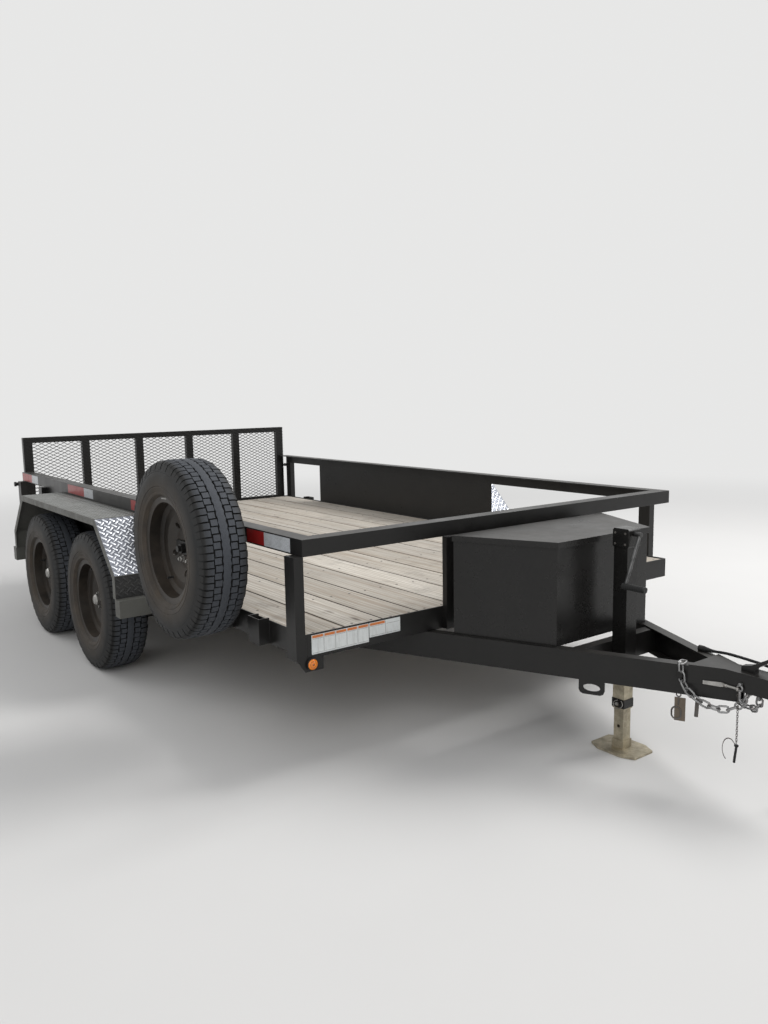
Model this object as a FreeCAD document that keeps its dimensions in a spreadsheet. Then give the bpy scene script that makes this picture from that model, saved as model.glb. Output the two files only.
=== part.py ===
"""Utility trailer: two axles, a board deck in an open rail frame, a folding ramp gate,
a wedge toolbox on the A-frame tongue, a drop-leg jack and a side-mounted spare wheel.

Millimetres. +X points forward to the coupler, +Y to the left, +Z up. The origin is the
centre of the coupler's ball socket. Heights named *_top or *_height are above the ground,
and places along the trailer are distances behind or ahead of the front of the deck.
"""
import os
import re
from math import atan2, cos, degrees, pi, sin, tan
from types import SimpleNamespace

import FreeCAD
import Part
import Sketcher
from FreeCAD import Placement, Rotation, Vector

doc = FreeCAD.newDocument("UtilityTrailer")

# name, value in mm or degrees, what it is
SIZES = (
    ("deck_length", 3658, "front to rear face of the lower frame"),
    ("frame_width", 2072, "over the outer faces of the lower frame"),
    ("deck_top", 505, "top of the boards above the ground"),
    ("frame_rise", 5, "frame's top edge above the boards"),
    ("frame_height", 89, "upright leg of the frame angle"),
    ("frame_flange", 64, "level leg of the frame angle"),
    ("frame_wall", 6, "thickness of the frame angle"),
    ("board_thick", 38, "deck board thickness"),
    ("board_count", 12, "deck boards side by side"),
    ("board_gap", 5, "gap between two boards"),
    ("beam_count", 7, "crossmembers between the front and rear of the frame"),
    ("beam_width", 51, "level leg of a crossmember"),
    ("beam_wall", 5, "thickness of a crossmember"),
    ("tongue_reach", 1150, "ball centre ahead of the deck front"),
    ("ball_height", 385, "ball centre above the ground"),
    ("apex_reach", 1053, "where the outer faces of the tongue beams would meet"),
    ("tongue_angle", 25, "tongue beam to the centre line, degrees"),
    ("tongue_depth", 102, "height of a tongue beam"),
    ("tongue_flange", 41, "flange width of a tongue beam"),
    ("tongue_wall", 6, "web and flange thickness of a tongue beam"),
    ("tongue_blunt", 33, "beam tips cut back from the apex"),
    ("tongue_run", 760, "tongue beams reach this far behind the deck front"),
    ("tie_loop_place", 540, "tie loops under the beams ahead of the deck front"),
    ("tie_loop_length", 92, "tie loop along the beam"),
    ("tie_loop_drop", 50, "tie loop below the beam"),
    ("tie_loop_corner", 16, "rounded lower corners of a tie loop"),
    ("tie_loop_rim", 15, "steel round a tie loop's eye"),
    ("coupler_back", 877, "rear of the coupler ahead of the deck front"),
    ("coupler_wall", 6, "coupler plate and flanges"),
    ("coupler_neck", 34, "half width of the coupler's neck inside"),
    ("coupler_skirt", 56, "coupler flanges below the top of the beams"),
    ("socket_radius", 29.7, "ball socket"),
    ("socket_depth", 40, "ball socket"),
    ("chain_bolt", 5, "bolt through a safety chain's end link"),
    ("link_wire", 7, "safety chain wire"),
    ("link_inside", 30, "inside length of a link"),
    ("link_width", 14.6, "inside width of a link"),
    ("link_slack", 0.9, "play between two links"),
    ("rail_top", 846, "top of the upper rails above the ground"),
    ("rail_height", 60, "upright leg of the upper rail angle"),
    ("rail_flange", 64, "level leg of the upper rail angle"),
    ("rail_wall", 6, "thickness of the upper rail angle"),
    ("post_length", 64, "post along the trailer"),
    ("post_width", 38, "post across the trailer"),
    ("left_post_back", 100, "left front post behind the deck front"),
    ("post_drop", 12, "corner post below the frame"),
    ("post_bevel", 12, "cut corner at a corner post's foot"),
    ("pocket_place", 297, "front stake pocket's middle behind the deck front"),
    ("pocket_back", 300, "rear stake pocket's middle ahead of the deck rear"),
    ("pocket_length", 86, "stake pocket along the trailer"),
    ("pocket_depth", 45, "stake pocket across the trailer"),
    ("pocket_wall", 5, "stake pocket wall"),
    ("pocket_rise", 10, "stake pocket above the frame"),
    ("lamp_place", 22, "lamp centres inside the frame's outer face"),
    ("lamp_low", 19, "lamp centres below the frame"),
    ("lamp_radius", 22.5, "round marker and tail lamps"),
    ("lamp_depth", 14, "a lamp stands out this far"),
    ("lamp_plate_drop", 46, "lamp plate below the frame"),
    ("lamp_plate_side", 50, "lamp plate inboard of the lamp"),
    ("lamp_plate_bevel", 34, "sloping outer side of the lamp plate"),
    ("lamp_plate_wall", 5, "lamp plate thickness"),
    ("latch_pin", 8, "gate latch pin radius"),
    ("latch_gap", 6, "drawn-back latch pin to the gate"),
    ("latch_reach", 12, "latch pin stands out of its barrel towards the gate"),
    ("latch_barrel", 38, "latch barrel along its pin"),
    ("latch_tail", 4, "latch pin stands out of its barrel away from the gate"),
    ("latch_arm", 8, "plate from the rear post to the latch barrel"),
    ("latch_drop", 22, "latch pin below the upper rail"),
    ("latch_knob", 16, "latch knob radius"),
    ("mid_post_place", 383, "middle of each front mid post from the centre line"),
    ("mid_post_width", 50, "front mid post across the trailer"),
    ("mid_post_length", 25, "front mid post along the trailer"),
    ("axle_share", 0.5823, "middle of the two axles as a share of the deck length"),
    ("axle_spacing", 838, "front axle to rear axle"),
    ("tyre_radius", 344, "outer radius of a tyre"),
    ("tyre_width", 205, "section width of a tyre"),
    ("tyre_gap", 18, "inner side of the tyre to the fender panel"),
    ("rim_radius", 190.5, "bead seat of the rim"),
    ("rim_width", 152, "rim between its flanges"),
    ("hub_radius", 68, "flange of the hub"),
    ("drum_radius", 140, "brake drum"),
    ("axle_radius", 30, "axle tube"),
    ("axle_drop", 102, "axle tube below the spindle"),
    ("axle_arm", 24, "drop arm across the trailer"),
    ("arm_gap", 18, "drop arm outboard of the spring"),
    ("spindle_radius", 20, "spindle that the hub runs on"),
    ("bore_gap", 0.2, "running clearance of a bore on its shaft"),
    ("disc_thick", 4, "steel disc of a wheel"),
    ("stud_count", 5, "wheel studs"),
    ("stud_circle", 57.15, "wheel studs from the wheel's centre"),
    ("stud_radius", 7, "wheel stud"),
    ("nut_radius", 11, "wheel nut across its corners, halved"),
    ("nut_height", 17, "wheel nut"),
    ("hand_hole", 13, "hand holes in the disc"),
    ("hand_circle", 100, "hand holes from the wheel's centre"),
    ("seat_pad", 4, "spring seat above the axle tube"),
    ("spring_place", 36, "leaf springs' middle inside the frame's outer face"),
    ("spring_span", 641, "spring eye to spring eye"),
    ("spring_width", 44, "leaf width"),
    ("leaf_thick", 7, "one leaf"),
    ("leaf_count", 4, "leaves in a spring"),
    ("leaf_share", 0.22, "each lower leaf is shorter by this share of the span"),
    ("spring_camber", 18, "top of the main leaf's ends above its middle"),
    ("eye_bore", 8, "spring eye radius inside"),
    ("u_bolt", 6, "U-bolt radius"),
    ("u_bolt_gap", 0.5, "U-bolt round the axle tube"),
    ("tie_plate", 8, "plate that the U-bolts pull on the spring"),
    ("hanger_length", 50, "end hanger along the trailer"),
    ("hanger_wall", 6, "hanger and shackle plates"),
    ("hanger_gap", 2, "hanger plate to the spring's side"),
    ("eye_margin", 20, "steel below a hanger bolt"),
    ("centre_hanger", 60, "centre hanger along the trailer"),
    ("rocker_half", 76, "equalizer pivot to its end bolts"),
    ("rocker_rise", 50, "equalizer pivot above the spring eyes"),
    ("rocker_end_rise", 36, "equalizer end bolts above the spring eyes"),
    ("rocker_edge", 15, "steel round an equalizer bolt"),
    ("panel_thick", 3, "sheet behind the fender"),
    ("fender_width", 230, "fender from the panel to its lip"),
    ("fender_top", 780, "top of the fender above the ground"),
    ("fender_flat", 1300, "level part of the fender along the trailer"),
    ("fender_slope", 235, "length and drop of each sloping end"),
    ("fender_skirt", 105, "upright foot of each sloping end"),
    ("fender_lip", 32, "turned-down outer edge"),
    ("fender_thick", 4, "tread plate thickness"),
    ("panel_ahead", 21, "side panel ahead of the fender"),
    ("panel_behind", 131, "side panel behind the fender"),
    ("foot_channel", 58, "channel under each fender foot, along the trailer"),
    ("foot_channel_drop", 80, "height of that channel"),
    ("foot_channel_lap", 11, "that channel inside the fender's foot"),
    ("foot_channel_wall", 5, "wall of that channel"),
    ("spare_place", 580, "spare wheel behind the deck front"),
    ("spare_height", 760, "spare wheel centre above the ground"),
    ("spare_gap", 27, "inner side of the spare to its post"),
    ("spare_arm", 50, "spare carrier arm, square"),
    ("spare_plate", 80, "spare carrier plate radius"),
    ("spare_stud", 12, "spare's clamp bolt radius"),
    ("clamp_width", 150, "spare's clamp bar"),
    ("clamp_height", 50, "spare's clamp bar"),
    ("gate_side_gap", 18, "ramp gate's sides inside the outer faces of the lower frame"),
    ("gate_top", 1078, "gate top above the ground"),
    ("gate_hinge_height", 470, "gate hinge axis above the ground"),
    ("gate_hinge_back", 36, "gate hinge axis behind the frame"),
    ("gate_hinge_inset", 196, "outer gate hinges inside the outer faces of the lower frame"),
    ("hinge_pin", 6, "gate hinge pin radius"),
    ("barrel_wall", 6, "gate hinge barrel wall"),
    ("ear_radius", 8, "gate hinge ear"),
    ("gate_tube", 38, "gate tube along the trailer"),
    ("gate_edge", 60, "outer uprights of the gate"),
    ("gate_bar", 54, "inner uprights of the gate"),
    ("gate_mesh_thick", 5, "expanded mesh"),
    ("mesh_gap", 0.3, "between the two directions of strands"),
    ("mesh_strand", 3.5, "strand width"),
    ("mesh_long", 50.8, "long way of a diamond, across the gate"),
    ("mesh_short", 23.4, "short way of a diamond, up the gate"),
    ("box_front", 452, "front of the toolbox ahead of the deck"),
    ("box_back", 88, "back of the toolbox ahead of the deck"),
    ("box_side", 22, "toolbox sides inside the outer faces of the tongue beams"),
    ("box_top", 800, "top of the toolbox walls above the ground"),
    ("box_wall", 3, "toolbox sheet"),
    ("lid_thick", 3, "toolbox lid sheet"),
    ("lid_rim", 20, "turned-down edge of the lid"),
    ("lid_gap", 5, "lid edge clear of the walls"),
    ("lid_pin", 4, "lid hinge pin radius"),
    ("lid_hinge_place", 250, "lid hinges from the centre line"),
    ("jack_place", 549, "jack ahead of the deck front"),
    ("jack_tube", 60, "outer square tube of the jack"),
    ("jack_top", 840, "top of the jack above the ground"),
    ("jack_low", 300, "lower end of the outer tube above the ground"),
    ("head_height", 68, "jack head"),
    ("head_side", 8, "jack head wider than its tube, on the crank side"),
    ("head_bevel", 6, "cut upper corners of the jack head"),
    ("crank_reach", 193, "crank arm, shaft to grip"),
    ("crank_out", 21, "crank arm ahead of the jack head"),
    ("crank_wire", 6.5, "crank rod radius"),
    ("crank_turn", 24, "crank arm off plumb, degrees"),
    ("crank_shaft", 20, "crank shaft below the jack's top"),
    ("crank_grip", 96, "crank grip along its rod"),
    ("grip_radius", 11, "crank grip"),
    ("ram_low", 160, "lower end of the jack's ram above the ground"),
    ("ram_length", 320, "jack ram"),
    ("leg_wall", 4, "wall of the jack tubes"),
    ("hole_pitch", 88, "pin holes in the drop leg"),
    ("hole_radius", 6.5, "pin holes in the drop leg"),
    ("foot_width", 200, "jack foot plate"),
    ("foot_corner", 48, "cut corners of the foot plate"),
    ("foot_thick", 8, "jack foot plate thickness"),
    ("cable_radius", 5, "wiring cable"),
    ("cable_clip_place", 800, "cable clip ahead of the deck front"),
    ("cable_clip_side", 92, "cable clip from the centre line"),
    ("plug_radius", 19, "wiring plug"),
    ("plug_length", 78, "wiring plug"),
)

sheet = doc.addObject("Spreadsheet::Sheet", "Sizes")
for row, (alias, value, note) in enumerate(SIZES, 1):
    sheet.set(f"A{row}", note)
    sheet.set(f"B{row}", str(value))
    sheet.setAlias(f"B{row}", alias)
doc.recompute()

s = SimpleNamespace(**{alias: float(value) for alias, value, note in SIZES})
NAMES = set(vars(s))
NODES = []


def on_sheet(text):
    """Write the sheet's name in front of each of its aliases in an expression."""
    return re.sub(r"[a-z_]+", lambda word: f"Sizes.{word[0]}" if word[0] in NAMES else word[0], str(text))


def place(thing, x, y, z):
    """Bind an object's position to the sheet."""
    for name, text in zip("xyz", (x, y, z)):
        thing.setExpression(f"Placement.Base.{name}", on_sheet(text))
    return thing


def block(label, lengths, corner):
    """A box whose three lengths and lowest corner are expressions on the sheet."""
    thing = doc.addObject("Part::Box", label)
    for prop, text in zip(("Length", "Width", "Height"), lengths):
        thing.setExpression(prop, on_sheet(text))
    return place(thing, *corner)


def rod(label, radius, length, centre, axis="z"):
    """A cylinder that starts at centre and runs along an axis."""
    thing = doc.addObject("Part::Cylinder", label)
    thing.setExpression("Radius", on_sheet(radius))
    thing.setExpression("Height", on_sheet(length))
    turns = {"x": Rotation(Vector(0, 1, 0), 90), "y": Rotation(Vector(1, 0, 0), -90), "z": Rotation()}
    thing.Placement = Placement(Vector(), turns[axis])
    return place(thing, *centre)


def cut(label, base, tool):
    thing = doc.addObject("Part::Cut", label)
    thing.Base, thing.Tool = base, tool
    return thing


def common(label, base, tool):
    thing = doc.addObject("Part::Common", label)
    thing.Base, thing.Tool = base, tool
    return thing


def fuse(label, *pieces):
    thing = doc.addObject("Part::MultiFuse", label)
    thing.Shapes = list(pieces)
    return thing


def group(label, *pieces):
    """Solids that share a node and don't touch."""
    thing = doc.addObject("Part::Compound", label)
    thing.Links = list(pieces)
    return thing


def mirrored(label, source):
    """The left-hand twin of a right-hand piece."""
    thing = doc.addObject("Part::Mirroring", label)
    thing.Source = source
    thing.Normal = (0, 1, 0)
    return thing


def node(label, thing):
    """Keep an object as a sub-part under its file name."""
    thing.Label = label
    NODES.append(thing)
    return thing


def outline(body, plane, points):
    """A closed sketch on one of the body's planes; each corner is two expressions."""
    sketch = body.newObject("Sketcher::SketchObject", "Outline")
    sketch.AttachmentSupport = [(find_plane(body, plane), "")]
    sketch.MapMode = "FlatFace"
    count = len(points)
    ring = [Vector(100 * cos(2 * pi * i / count), 100 * sin(2 * pi * i / count), 0) for i in range(count)]
    for i in range(count):
        sketch.addGeometry(Part.LineSegment(ring[i], ring[(i + 1) % count]), False)
    for i in range(count):
        sketch.addConstraint(Sketcher.Constraint("Coincident", i, 2, (i + 1) % count, 1))
    for i, (across, up) in enumerate(points):
        for kind, text, start in (("DistanceX", across, ring[i].x), ("DistanceY", up, ring[i].y)):
            index = sketch.addConstraint(Sketcher.Constraint(kind, -1, 1, i, 1, start))
            sketch.setExpression(f"Constraints[{index}]", on_sheet(text))
    return sketch


def find_plane(body, role):
    return next(part for part in body.Origin.OriginFeatures if part.Role == role)


def prism(label, plane, points, length):
    """A body padded from an outline along the plane's normal."""
    body = doc.addObject("PartDesign::Body", label)
    sketch = outline(body, plane, points)
    pad = body.newObject("PartDesign::Pad", "Pad")
    pad.Profile = sketch
    pad.setExpression("Length", on_sheet(length))
    return body


def turned(label, points):
    """A body turned about the Y axis; each corner is (place along Y, radius)."""
    body = doc.addObject("PartDesign::Body", label)
    sketch = outline(body, "YZ_Plane", points)
    turn = body.newObject("PartDesign::Revolution", "Turn")
    turn.Profile = sketch
    turn.ReferenceAxis = (sketch, ["H_Axis"])
    turn.Angle = 360
    return body


# Levels and planes that many pieces share
DECK_FRONT = "-tongue_reach"
DECK_REAR = "-tongue_reach - deck_length"
GROUND = "-ball_height"
FRAME_TOP = "deck_top + frame_rise - ball_height"
FRAME_LOW = "deck_top + frame_rise - frame_height - ball_height"
RAIL_LOW = "rail_top - rail_height - ball_height"
RAIL_TOP = "rail_top - ball_height"
TONGUE_LOW = f"{FRAME_LOW} - tongue_depth"
PANEL_OUT = "frame_width / 2 + panel_thick"
GATE_AXIS = (f"{DECK_REAR} - gate_hinge_back", "gate_hinge_height - ball_height")
GATE_WIDTH = "(frame_width - 2 * gate_side_gap)"
HINGE_SIDE = "(frame_width / 2 - gate_hinge_inset)"
AXLE_MIDDLE = f"{DECK_FRONT} - deck_length * axle_share"
SPRING_LINE = "(frame_width / 2 - spring_place)"
WHEEL_SIDE = "(frame_width / 2 + panel_thick + tyre_gap + tyre_width / 2)"
SPRING_TOP = "(tyre_radius - axle_drop + axle_radius + seat_pad + leaf_count * leaf_thick - ball_height)"
EYE_HEIGHT = f"({SPRING_TOP} + spring_camber + eye_bore)"


def lower_frame():
    """Angle iron round the deck, level legs inwards under the boards, with stake pockets."""
    low = block("SideOuter", ("deck_length", "frame_flange", "frame_height"),
                (DECK_REAR, "-frame_width / 2", FRAME_LOW))
    hollow = block("SideHollow", ("deck_length + 2", "frame_flange", "frame_height"),
                   (f"{DECK_REAR} - 1", "-frame_width / 2 + frame_wall", f"{FRAME_LOW} + frame_wall"))
    pockets = []
    for name, middle in (("Front", f"{DECK_FRONT} - pocket_place"), ("Rear", f"{DECK_REAR} + pocket_back")):
        shell = block(f"Pocket{name}", ("pocket_length", "pocket_depth", "frame_height + pocket_rise"),
                      (f"{middle} - pocket_length / 2", "-frame_width / 2 - pocket_depth", FRAME_LOW))
        slot = block(f"PocketSlot{name}",
                     ("pocket_length - 2 * pocket_wall", "pocket_depth", "frame_height + pocket_rise + 2"),
                     (f"{middle} - pocket_length / 2 + pocket_wall",
                      "-frame_width / 2 - pocket_depth + pocket_wall", f"{FRAME_LOW} - 1"))
        pockets.append(cut(f"StakePocket{name}", shell, slot))
    side = node("frame_side_right", fuse("FrameSide", cut("SideAngle", low, hollow), *pockets))
    node("frame_side_left", mirrored("FrameSideLeft", side))
    for name, leg, flange in (("front", f"{DECK_FRONT} - frame_wall", f"{DECK_FRONT} - frame_flange"),
                              ("rear", DECK_REAR, DECK_REAR)):
        upright = block(f"EndLeg_{name}", ("frame_wall", "frame_width - 2 * frame_wall", "frame_height - frame_wall"),
                        (leg, "-frame_width / 2 + frame_wall", f"{FRAME_LOW} + frame_wall"))
        level = block(f"EndFlange_{name}", ("frame_flange", "frame_width - 2 * frame_flange", "frame_wall"),
                      (flange, "-frame_width / 2 + frame_flange", FRAME_LOW))
        hinges = gate_ears() if name == "rear" else []
        node(f"frame_{name}", fuse(f"FrameEnd_{name}", upright, level, *hinges))


def gate_ears():
    """Fixed ears and pins that the gate's barrels turn on."""
    axis, height = GATE_AXIS
    pieces = []
    for i in range(3):
        y = f"(({i} - 1) * {HINGE_SIDE})"
        pieces.append(rod(f"GatePin{i}", "hinge_pin", "100", (axis, f"{y} - 50", height), "y"))
        for j, shift in enumerate((-50, 42)):
            pieces.append(rod(f"GateEarEye{i}{j}", "ear_radius", "8", (axis, f"{y} + {shift}", height), "y"))
            pieces.append(block(f"GateEar{i}{j}", ("gate_hinge_back", "8", "2 * ear_radius"),
                                (axis, f"{y} + {shift}", f"{height} - ear_radius")))
    return pieces


def crossmembers():
    """Angles on the frame's level legs that carry the boards."""
    beams = []
    depth = "frame_height - frame_rise - board_thick - frame_wall"
    for i in range(int(s.beam_count)):
        middle = f"{DECK_FRONT} - deck_length * {i + 1} / (beam_count + 1)"
        leg = block(f"BeamLeg{i}", ("beam_wall", "frame_width - 2 * frame_wall", depth),
                    (middle, "-frame_width / 2 + frame_wall", f"{FRAME_LOW} + frame_wall"))
        top = block(f"BeamTop{i}", ("beam_width", "frame_width - 2 * frame_wall", "beam_wall"),
                    (middle, "-frame_width / 2 + frame_wall", "deck_top - board_thick - beam_wall - ball_height"))
        beams.append(fuse(f"Beam{i}", leg, top))
    node("crossmembers", group("Crossmembers", *beams))


def deck_boards():
    inside = "(frame_width - 2 * frame_wall - 2)"
    width = f"(({inside} - (board_count - 1) * board_gap) / board_count)"
    boards = [block(f"Board{i}", ("deck_length - 2 * frame_wall - 4", width, "board_thick"),
                    (f"{DECK_REAR} + frame_wall + 2", f"-{inside} / 2 + {i} * ({width} + board_gap)",
                     "deck_top - board_thick - ball_height"))
              for i in range(int(s.board_count))]
    node("deck_boards", group("Boards", *boards))


def corner_post(name, x):
    """Upright outside the frame, its foot cut off at the outer corner."""
    outer, inner = "-frame_width / 2 - post_width", "-frame_width / 2"
    foot = f"{FRAME_LOW} - post_drop"
    post = prism(f"Post{name}", "YZ_Plane",
                 [(outer, RAIL_LOW), (outer, f"{foot} + post_bevel"), (f"{outer} + post_bevel", foot), (inner, foot),
                  (inner, RAIL_LOW)], "post_length")
    return place(post, x, "0", "0")


def lamp_plate(name, x):
    """Plate below a corner of the frame that carries a lamp."""
    outer, inner = "-frame_width / 2 - post_width", "-frame_width / 2 + lamp_place + lamp_plate_side"
    foot = f"{FRAME_LOW} - post_drop"
    low = f"{FRAME_LOW} - lamp_plate_drop"
    plate = prism(f"LampPlate{name}", "YZ_Plane",
                  [(f"{outer} + post_bevel", foot), (f"{outer} + lamp_plate_bevel", low), (inner, low),
                   (inner, FRAME_LOW), ("-frame_width / 2", FRAME_LOW), ("-frame_width / 2", foot)], "lamp_plate_wall")
    return place(plate, x, "0", "0")


def gate_latch():
    """Spring pin on the rear post, drawn back from the gate's side, and its barrel."""
    axis = GATE_AXIS[0]
    height = f"{RAIL_LOW} - latch_drop"
    tip = f"-{GATE_WIDTH} / 2 - latch_gap"
    barrel_y = f"{tip} - latch_reach - latch_barrel"
    post_y = "-frame_width / 2 - post_width"
    low_y = f"min({post_y}; {barrel_y})"
    high_y = f"max({post_y} + post_width; {barrel_y} + latch_barrel)"
    pin = rod("LatchPin", "latch_pin", "latch_reach + latch_barrel + latch_tail",
              (axis, f"{barrel_y} - latch_tail", height), "y")
    knob = rod("LatchKnob", "latch_knob", "12", (axis, f"{barrel_y} - latch_tail - 12", height), "y")
    barrel = rod("LatchBarrel", "latch_pin + 4", "latch_barrel", (axis, barrel_y, height), "y")
    web = block("LatchWeb", ("gate_hinge_back", "latch_barrel", "12"),
                (f"{DECK_REAR} - gate_hinge_back", barrel_y, f"{height} - 6"))
    arm = block("LatchArm", ("latch_arm", f"{high_y} - {low_y}", "12"),
                (f"{DECK_REAR} - latch_arm", low_y, f"{height} - 6"))
    return [pin, knob, barrel, web, arm]


def upper_rails():
    """Angle rails whose upright legs stand outside the frame, on posts outside it."""
    rails = []
    for side, back in (("Right", "0"), ("Left", "left_post_back")):
        outer = block(f"RailOuter{side}", ("deck_length", "rail_flange", "rail_height"),
                      (DECK_REAR, "-frame_width / 2 - rail_wall", RAIL_LOW))
        hollow = block(f"RailHollow{side}", ("deck_length + 2", "rail_flange", "rail_height"),
                       (f"{DECK_REAR} - 1", "-frame_width / 2", f"{RAIL_LOW} - rail_wall"))
        pieces = [cut(f"SideRail{side}", outer, hollow), *gate_latch(),
                  corner_post(f"Front{side}", f"{DECK_FRONT} - post_length - {back}"),
                  corner_post(f"Rear{side}", DECK_REAR), lamp_plate(f"Rear{side}", DECK_REAR)]
        if side == "Right":
            pieces.append(lamp_plate("FrontRight", f"{DECK_FRONT} - lamp_plate_wall"))
        rails.append(fuse(f"Rail{side}", *pieces))
    node("rail_right", rails[0])
    node("rail_left", mirrored("RailLeftTurned", rails[1]))
    leg = block("FrontRailLeg", ("rail_wall", "frame_width + 2 * rail_wall", "rail_height"),
                (DECK_FRONT, "-frame_width / 2 - rail_wall", RAIL_LOW))
    flange = block("FrontRailFlange", ("rail_flange - rail_wall", "frame_width - 2 * (rail_flange - rail_wall)",
                                       "rail_wall"),
                   (f"{DECK_FRONT} - rail_flange + rail_wall", "-frame_width / 2 + rail_flange - rail_wall",
                    f"{RAIL_TOP} - rail_wall"))
    mids = [block(f"MidPost{i}", ("mid_post_length", "mid_post_width", f"{RAIL_LOW} - ({FRAME_LOW})"),
                  (DECK_FRONT, f"{sign} * mid_post_place - mid_post_width / 2", FRAME_LOW))
            for i, sign in enumerate((-1, 1))]
    node("rail_front", fuse("RailFront", leg, flange, *mids))


def side_panels():
    """Sheet behind each fender, with an upright at its rear edge."""
    front = f"{DECK_FRONT} - deck_length * axle_share + fender_flat / 2 + fender_slope + panel_ahead"
    length = "(fender_flat + 2 * fender_slope + panel_ahead + panel_behind)"
    panel = block("Panel", (length, "panel_thick", f"{RAIL_LOW} - ({FRAME_LOW}) - 20"),
                  (f"{front} - {length}", f"-({PANEL_OUT})", f"{FRAME_LOW} + 20"))
    upright = block("PanelPost", ("post_length", "post_width", f"{RAIL_LOW} - ({FRAME_LOW})"),
                    (f"{front} - {length}", "-frame_width / 2 - post_width", FRAME_LOW))
    right = node("side_panel_right", fuse("SidePanel", panel, upright))
    node("side_panel_left", mirrored("PanelLeft", right))


def fender_outline(inset):
    """Half-octagon over the two wheels, moved inwards by an inset."""
    middle = f"({DECK_FRONT} - deck_length * axle_share)"
    top = "(fender_top - ball_height)"
    foot = f"({top} - fender_slope - fender_skirt)"
    points = []
    for sign in (-1, 1):
        far = f"{middle} + {sign} * (fender_flat / 2 + fender_slope - {inset})"
        near = f"{middle} + {sign} * (fender_flat / 2 - {inset} * tan(22.5))"
        side = [(far, foot), (far, f"{top} - fender_slope - {inset} * tan(22.5)"), (near, f"{top} - {inset}")]
        points += side if sign < 0 else side[::-1]
    return points


def fenders():
    """Tread plate over two wheels, on a channel under each foot."""
    def arch(label, depth, width, inner):
        points = fender_outline("0") + fender_outline(depth)[::-1]
        return place(prism(label, "XZ_Plane", points, width), "0", f"-({PANEL_OUT}) - ({inner})", "0")
    skin = arch("FenderSkin", "fender_thick", "fender_width", "0")
    lip = arch("FenderLip", "fender_lip", "fender_thick", "fender_width - fender_thick")
    channels = []
    foot = f"{DECK_FRONT} - deck_length * axle_share"
    top = "fender_top - ball_height - fender_slope - fender_skirt"
    outer = f"-({PANEL_OUT}) - fender_width"
    for i, x in enumerate((f"{foot} + fender_flat / 2 + fender_slope - foot_channel_lap",
                           f"{foot} - fender_flat / 2 - fender_slope - foot_channel + foot_channel_lap")):
        bar = block(f"FootBar{i}", ("foot_channel", "panel_thick + fender_width", "foot_channel_drop"),
                    (x, outer, f"{top} - foot_channel_drop"))
        inside = block(f"FootHollow{i}",
                       ("foot_channel - 2 * foot_channel_wall", "panel_thick + fender_width", "foot_channel_drop"),
                       (f"{x} + foot_channel_wall", f"{outer} + foot_channel_wall",
                        f"{top} - foot_channel_drop - foot_channel_wall"))
        channels.append(cut(f"FootChannel{i}", bar, inside))
    right = node("fender_right", fuse("Fender", skin, lip, *channels))
    node("fender_left", mirrored("FenderLeft", right))


def wedge(label, inset, low, height):
    """Prism with its sides along the tongue beams, in the toolbox's place."""
    def half(x):
        return f"((apex_reach - ({x})) * tan(tongue_angle) - box_side - ({inset}) / cos(tongue_angle))"
    front, back = f"box_front - ({inset})", f"box_back + ({inset})"
    points = [(f"{x} - tongue_reach", f"{sign} * {half(x)}")
              for x, sign in ((back, -1), (front, -1), (front, 1), (back, 1))]
    return place(prism(label, "XY_Plane", points, height), "0", "0", low)


def toolbox():
    walls = wedge("BoxOuter", "0", FRAME_LOW, f"box_top - ball_height - ({FRAME_LOW})")
    inside = wedge("BoxInside", "box_wall", f"{FRAME_LOW} + box_wall", f"box_top - ball_height - ({FRAME_LOW})")
    pin_x, pin_z = "box_back - tongue_reach - lid_pin - 5.5", "box_top - ball_height - lid_pin - 3.7"
    ears, pins, sleeves = [], [], []
    for i, sign in enumerate((-1, 1)):
        y = f"({sign} * lid_hinge_place)"
        pins.append(rod(f"LidPin{i}", "lid_pin", "76", (pin_x, f"{y} - 38", pin_z), "y"))
        ears += [block(f"LidEar{i}{j}", ("lid_pin * 2 + 5.5", "8", "12"),
                       (f"{pin_x} - lid_pin", f"{y} + {shift}", f"{pin_z} - 6")) for j, shift in enumerate((-38, 30))]
        barrel = rod(f"LidBarrel{i}", "lid_pin + 4", "56", (pin_x, f"{y} - 28", pin_z), "y")
        bore = rod(f"LidBore{i}", "lid_pin + bore_gap", "58", (pin_x, f"{y} - 29", pin_z), "y")
        sleeves.append(cut(f"LidSleeve{i}", barrel, bore))
    node("toolbox_body", fuse("Toolbox", cut("Box", walls, inside), *ears, *pins))
    skin = wedge("LidOuter", "-lid_gap - lid_thick", "box_top + 0.3 - ball_height - lid_rim", "lid_rim + lid_thick")
    under = wedge("LidInside", "-lid_gap", "box_top - 1 - ball_height - lid_rim", "lid_rim + 1.3")
    trim = block("LidTrim", ("100", "frame_width", "100"),
                 ("box_back - tongue_reach - 100", "-frame_width / 2", "box_top + 0.3 - ball_height - 100"))
    node("toolbox_lid", fuse("ToolboxLid", cut("Lid", cut("LidShell", skin, under), trim), *sleeves))


# Each safety chain's route: ahead of the deck front, from the centre line towards its own side,
# above the ground
CHAINS = {
    -1: ((862, 106, 398), (863, 106, 383), (867, 104, 366), (875, 101, 349), (888, 97, 334), (905, 91, 321),
         (925, 84, 309), (947, 75, 300), (968, 66, 295), (988, 56, 294), (1006, 46, 298), (1022, 35, 307),
         (1034, 24, 320), (1042, 13, 336), (1046, 5, 355), (1048, 0, 378), (1048, 0, 398)),
    1: ((862, 106, 398), (863, 106, 383), (867, 104, 366), (875, 101, 349), (888, 97, 334), (905, 91, 321),
        (925, 84, 309), (950, 75, 298), (978, 64, 290), (1006, 53, 286), (1030, 43, 287), (1050, 32, 294),
        (1066, 21, 308), (1075, 11, 328), (1079, 4, 350), (1080, 0, 376), (1080, 0, 412)),
}


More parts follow.
